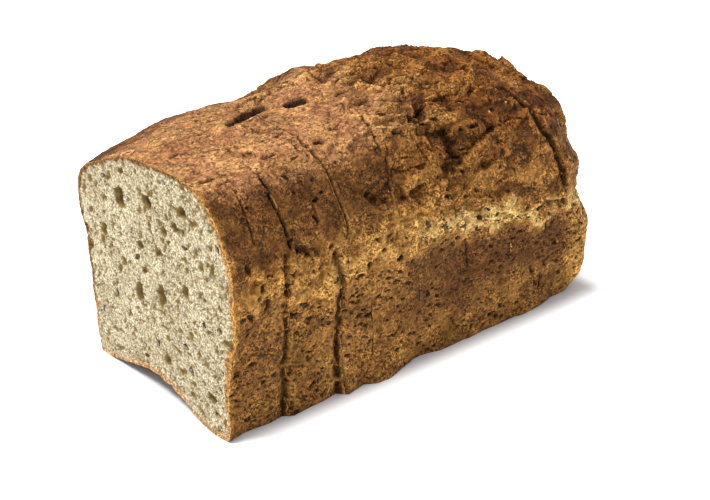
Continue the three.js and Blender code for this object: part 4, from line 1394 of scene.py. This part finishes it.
def add_camera():
    camera = bpy.data.cameras.new("camera")
    camera.sensor_width = SENSOR
    camera.lens = FOCAL_PIXELS * SENSOR / IMAGE_WIDTH
    camera.clip_start = 0.01
    shot = bpy.data.objects.new("camera", camera)
    shot.location = (np.array(CAMERA_PLACE) + LOAF_SHIFT) * MM
    back = Vector((math.sin(CAMERA_AZIMUTH) * math.cos(CAMERA_ELEVATION),
                   -math.cos(CAMERA_AZIMUTH) * math.cos(CAMERA_ELEVATION), math.sin(CAMERA_ELEVATION)))
    shot.rotation_euler = (-back).to_track_quat("-Z", "Y").to_euler()
    bpy.context.scene.collection.objects.link(shot)
    bpy.context.scene.camera = shot


def belongs(piece, node):
    """The piece rides on the root in place of a node of the solids."""
    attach(piece, "root")
    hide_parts(node)


def build_loaf():
    materials = [crust_material(), crumb_material()]
    edges = [0] + CUTS
    pieces = []
    for number in range(1, len(edges)):
        node = f"slice_{number:02d}"
        piece = build_slice(f"bread_{node}", number, edges[number - 1], edges[number], materials)
        belongs(piece, node)
        pieces.append(piece)
    piece = build_end_piece("bread_end_piece", CUTS[-1], materials)
    belongs(piece, "end_piece")
    return pieces + [piece]


def crust_spots(pieces, key, count, draw):
    """Random points of the crust where a share is high, each with its direction out."""
    spots = []
    for piece in pieces:
        mesh = piece.data
        share = np.empty(len(mesh.vertices), np.float32)
        mesh.attributes[key].data.foreach_get("value", share)
        point = np.empty(3 * len(share), np.float32)
        mesh.vertices.foreach_get("co", point)
        normal = np.empty(3 * len(share), np.float32)
        mesh.vertex_normals.foreach_get("vector", normal)
        good = np.flatnonzero((share > SPOT_SHARE) & (point[2::3] > SPOT_LOWEST * MM))
        chosen = draw.choice(good, min(len(good), SPOTS_A_PIECE), replace=False)
        place = point.reshape(-1, 3)[chosen] / MM - LOAF_SHIFT
        spots.append(np.hstack([place, normal.reshape(-1, 3)[chosen]]))
    spots = np.concatenate(spots)
    return spots[draw.choice(len(spots), count, replace=False)].astype(float)


def add_seeds(pieces):
    draw = np.random.default_rng(11)
    places = []
    for x, z in FACE_SEEDS:
        turn, size = draw.uniform(*ANY_TURN), draw.uniform(*FACE_SEED_SIZES)
        kernel = draw.choice(FACE_SEED_KERNELS)
        places.append(((x, FACE_SEED_DEPTH, z), (0.0, -1.0, 0.0), turn, size, kernel))
    for key, count in CRUST_SEEDS:
        for spot in crust_spots(pieces, key, count, draw):
            point = spot[:3] - spot[3:] * draw.uniform(*CRUST_SEED_SUNK)
            turn, size = draw.uniform(*ANY_TURN), draw.uniform(*CRUST_SEED_SIZES)
            places.append((point, spot[3:], turn, size, 0.0))
    scatter_shapes("flaxseeds", seed_shape(), places, seed_material())


def add_flecks(pieces):
    draw = np.random.default_rng(12)
    places = []
    for spot in crust_spots(pieces, "far", LOOSE_FLECKS, draw):
        if spot[2] > LOOSE_FLECK_LOWEST:
            turn, size = draw.uniform(*ANY_TURN), draw.uniform(*LOOSE_FLECK_SIZES)
            places.append((spot[:3], spot[3:], turn, size, 0.0))
    for point in FLECKS:
        turn, size = draw.uniform(*ANY_TURN), draw.uniform(*FLECK_SIZES)
        places.append((point, FLECK_NORMAL, turn, size, 0.0))
    scatter_shapes("flecks", fleck_shape(), places, fleck_material())


bpy.context.scene.view_settings.view_transform = "Standard"
add_camera()
add_floor()
add_light()
loaf = build_loaf()
add_seeds(loaf)
add_flecks(loaf)
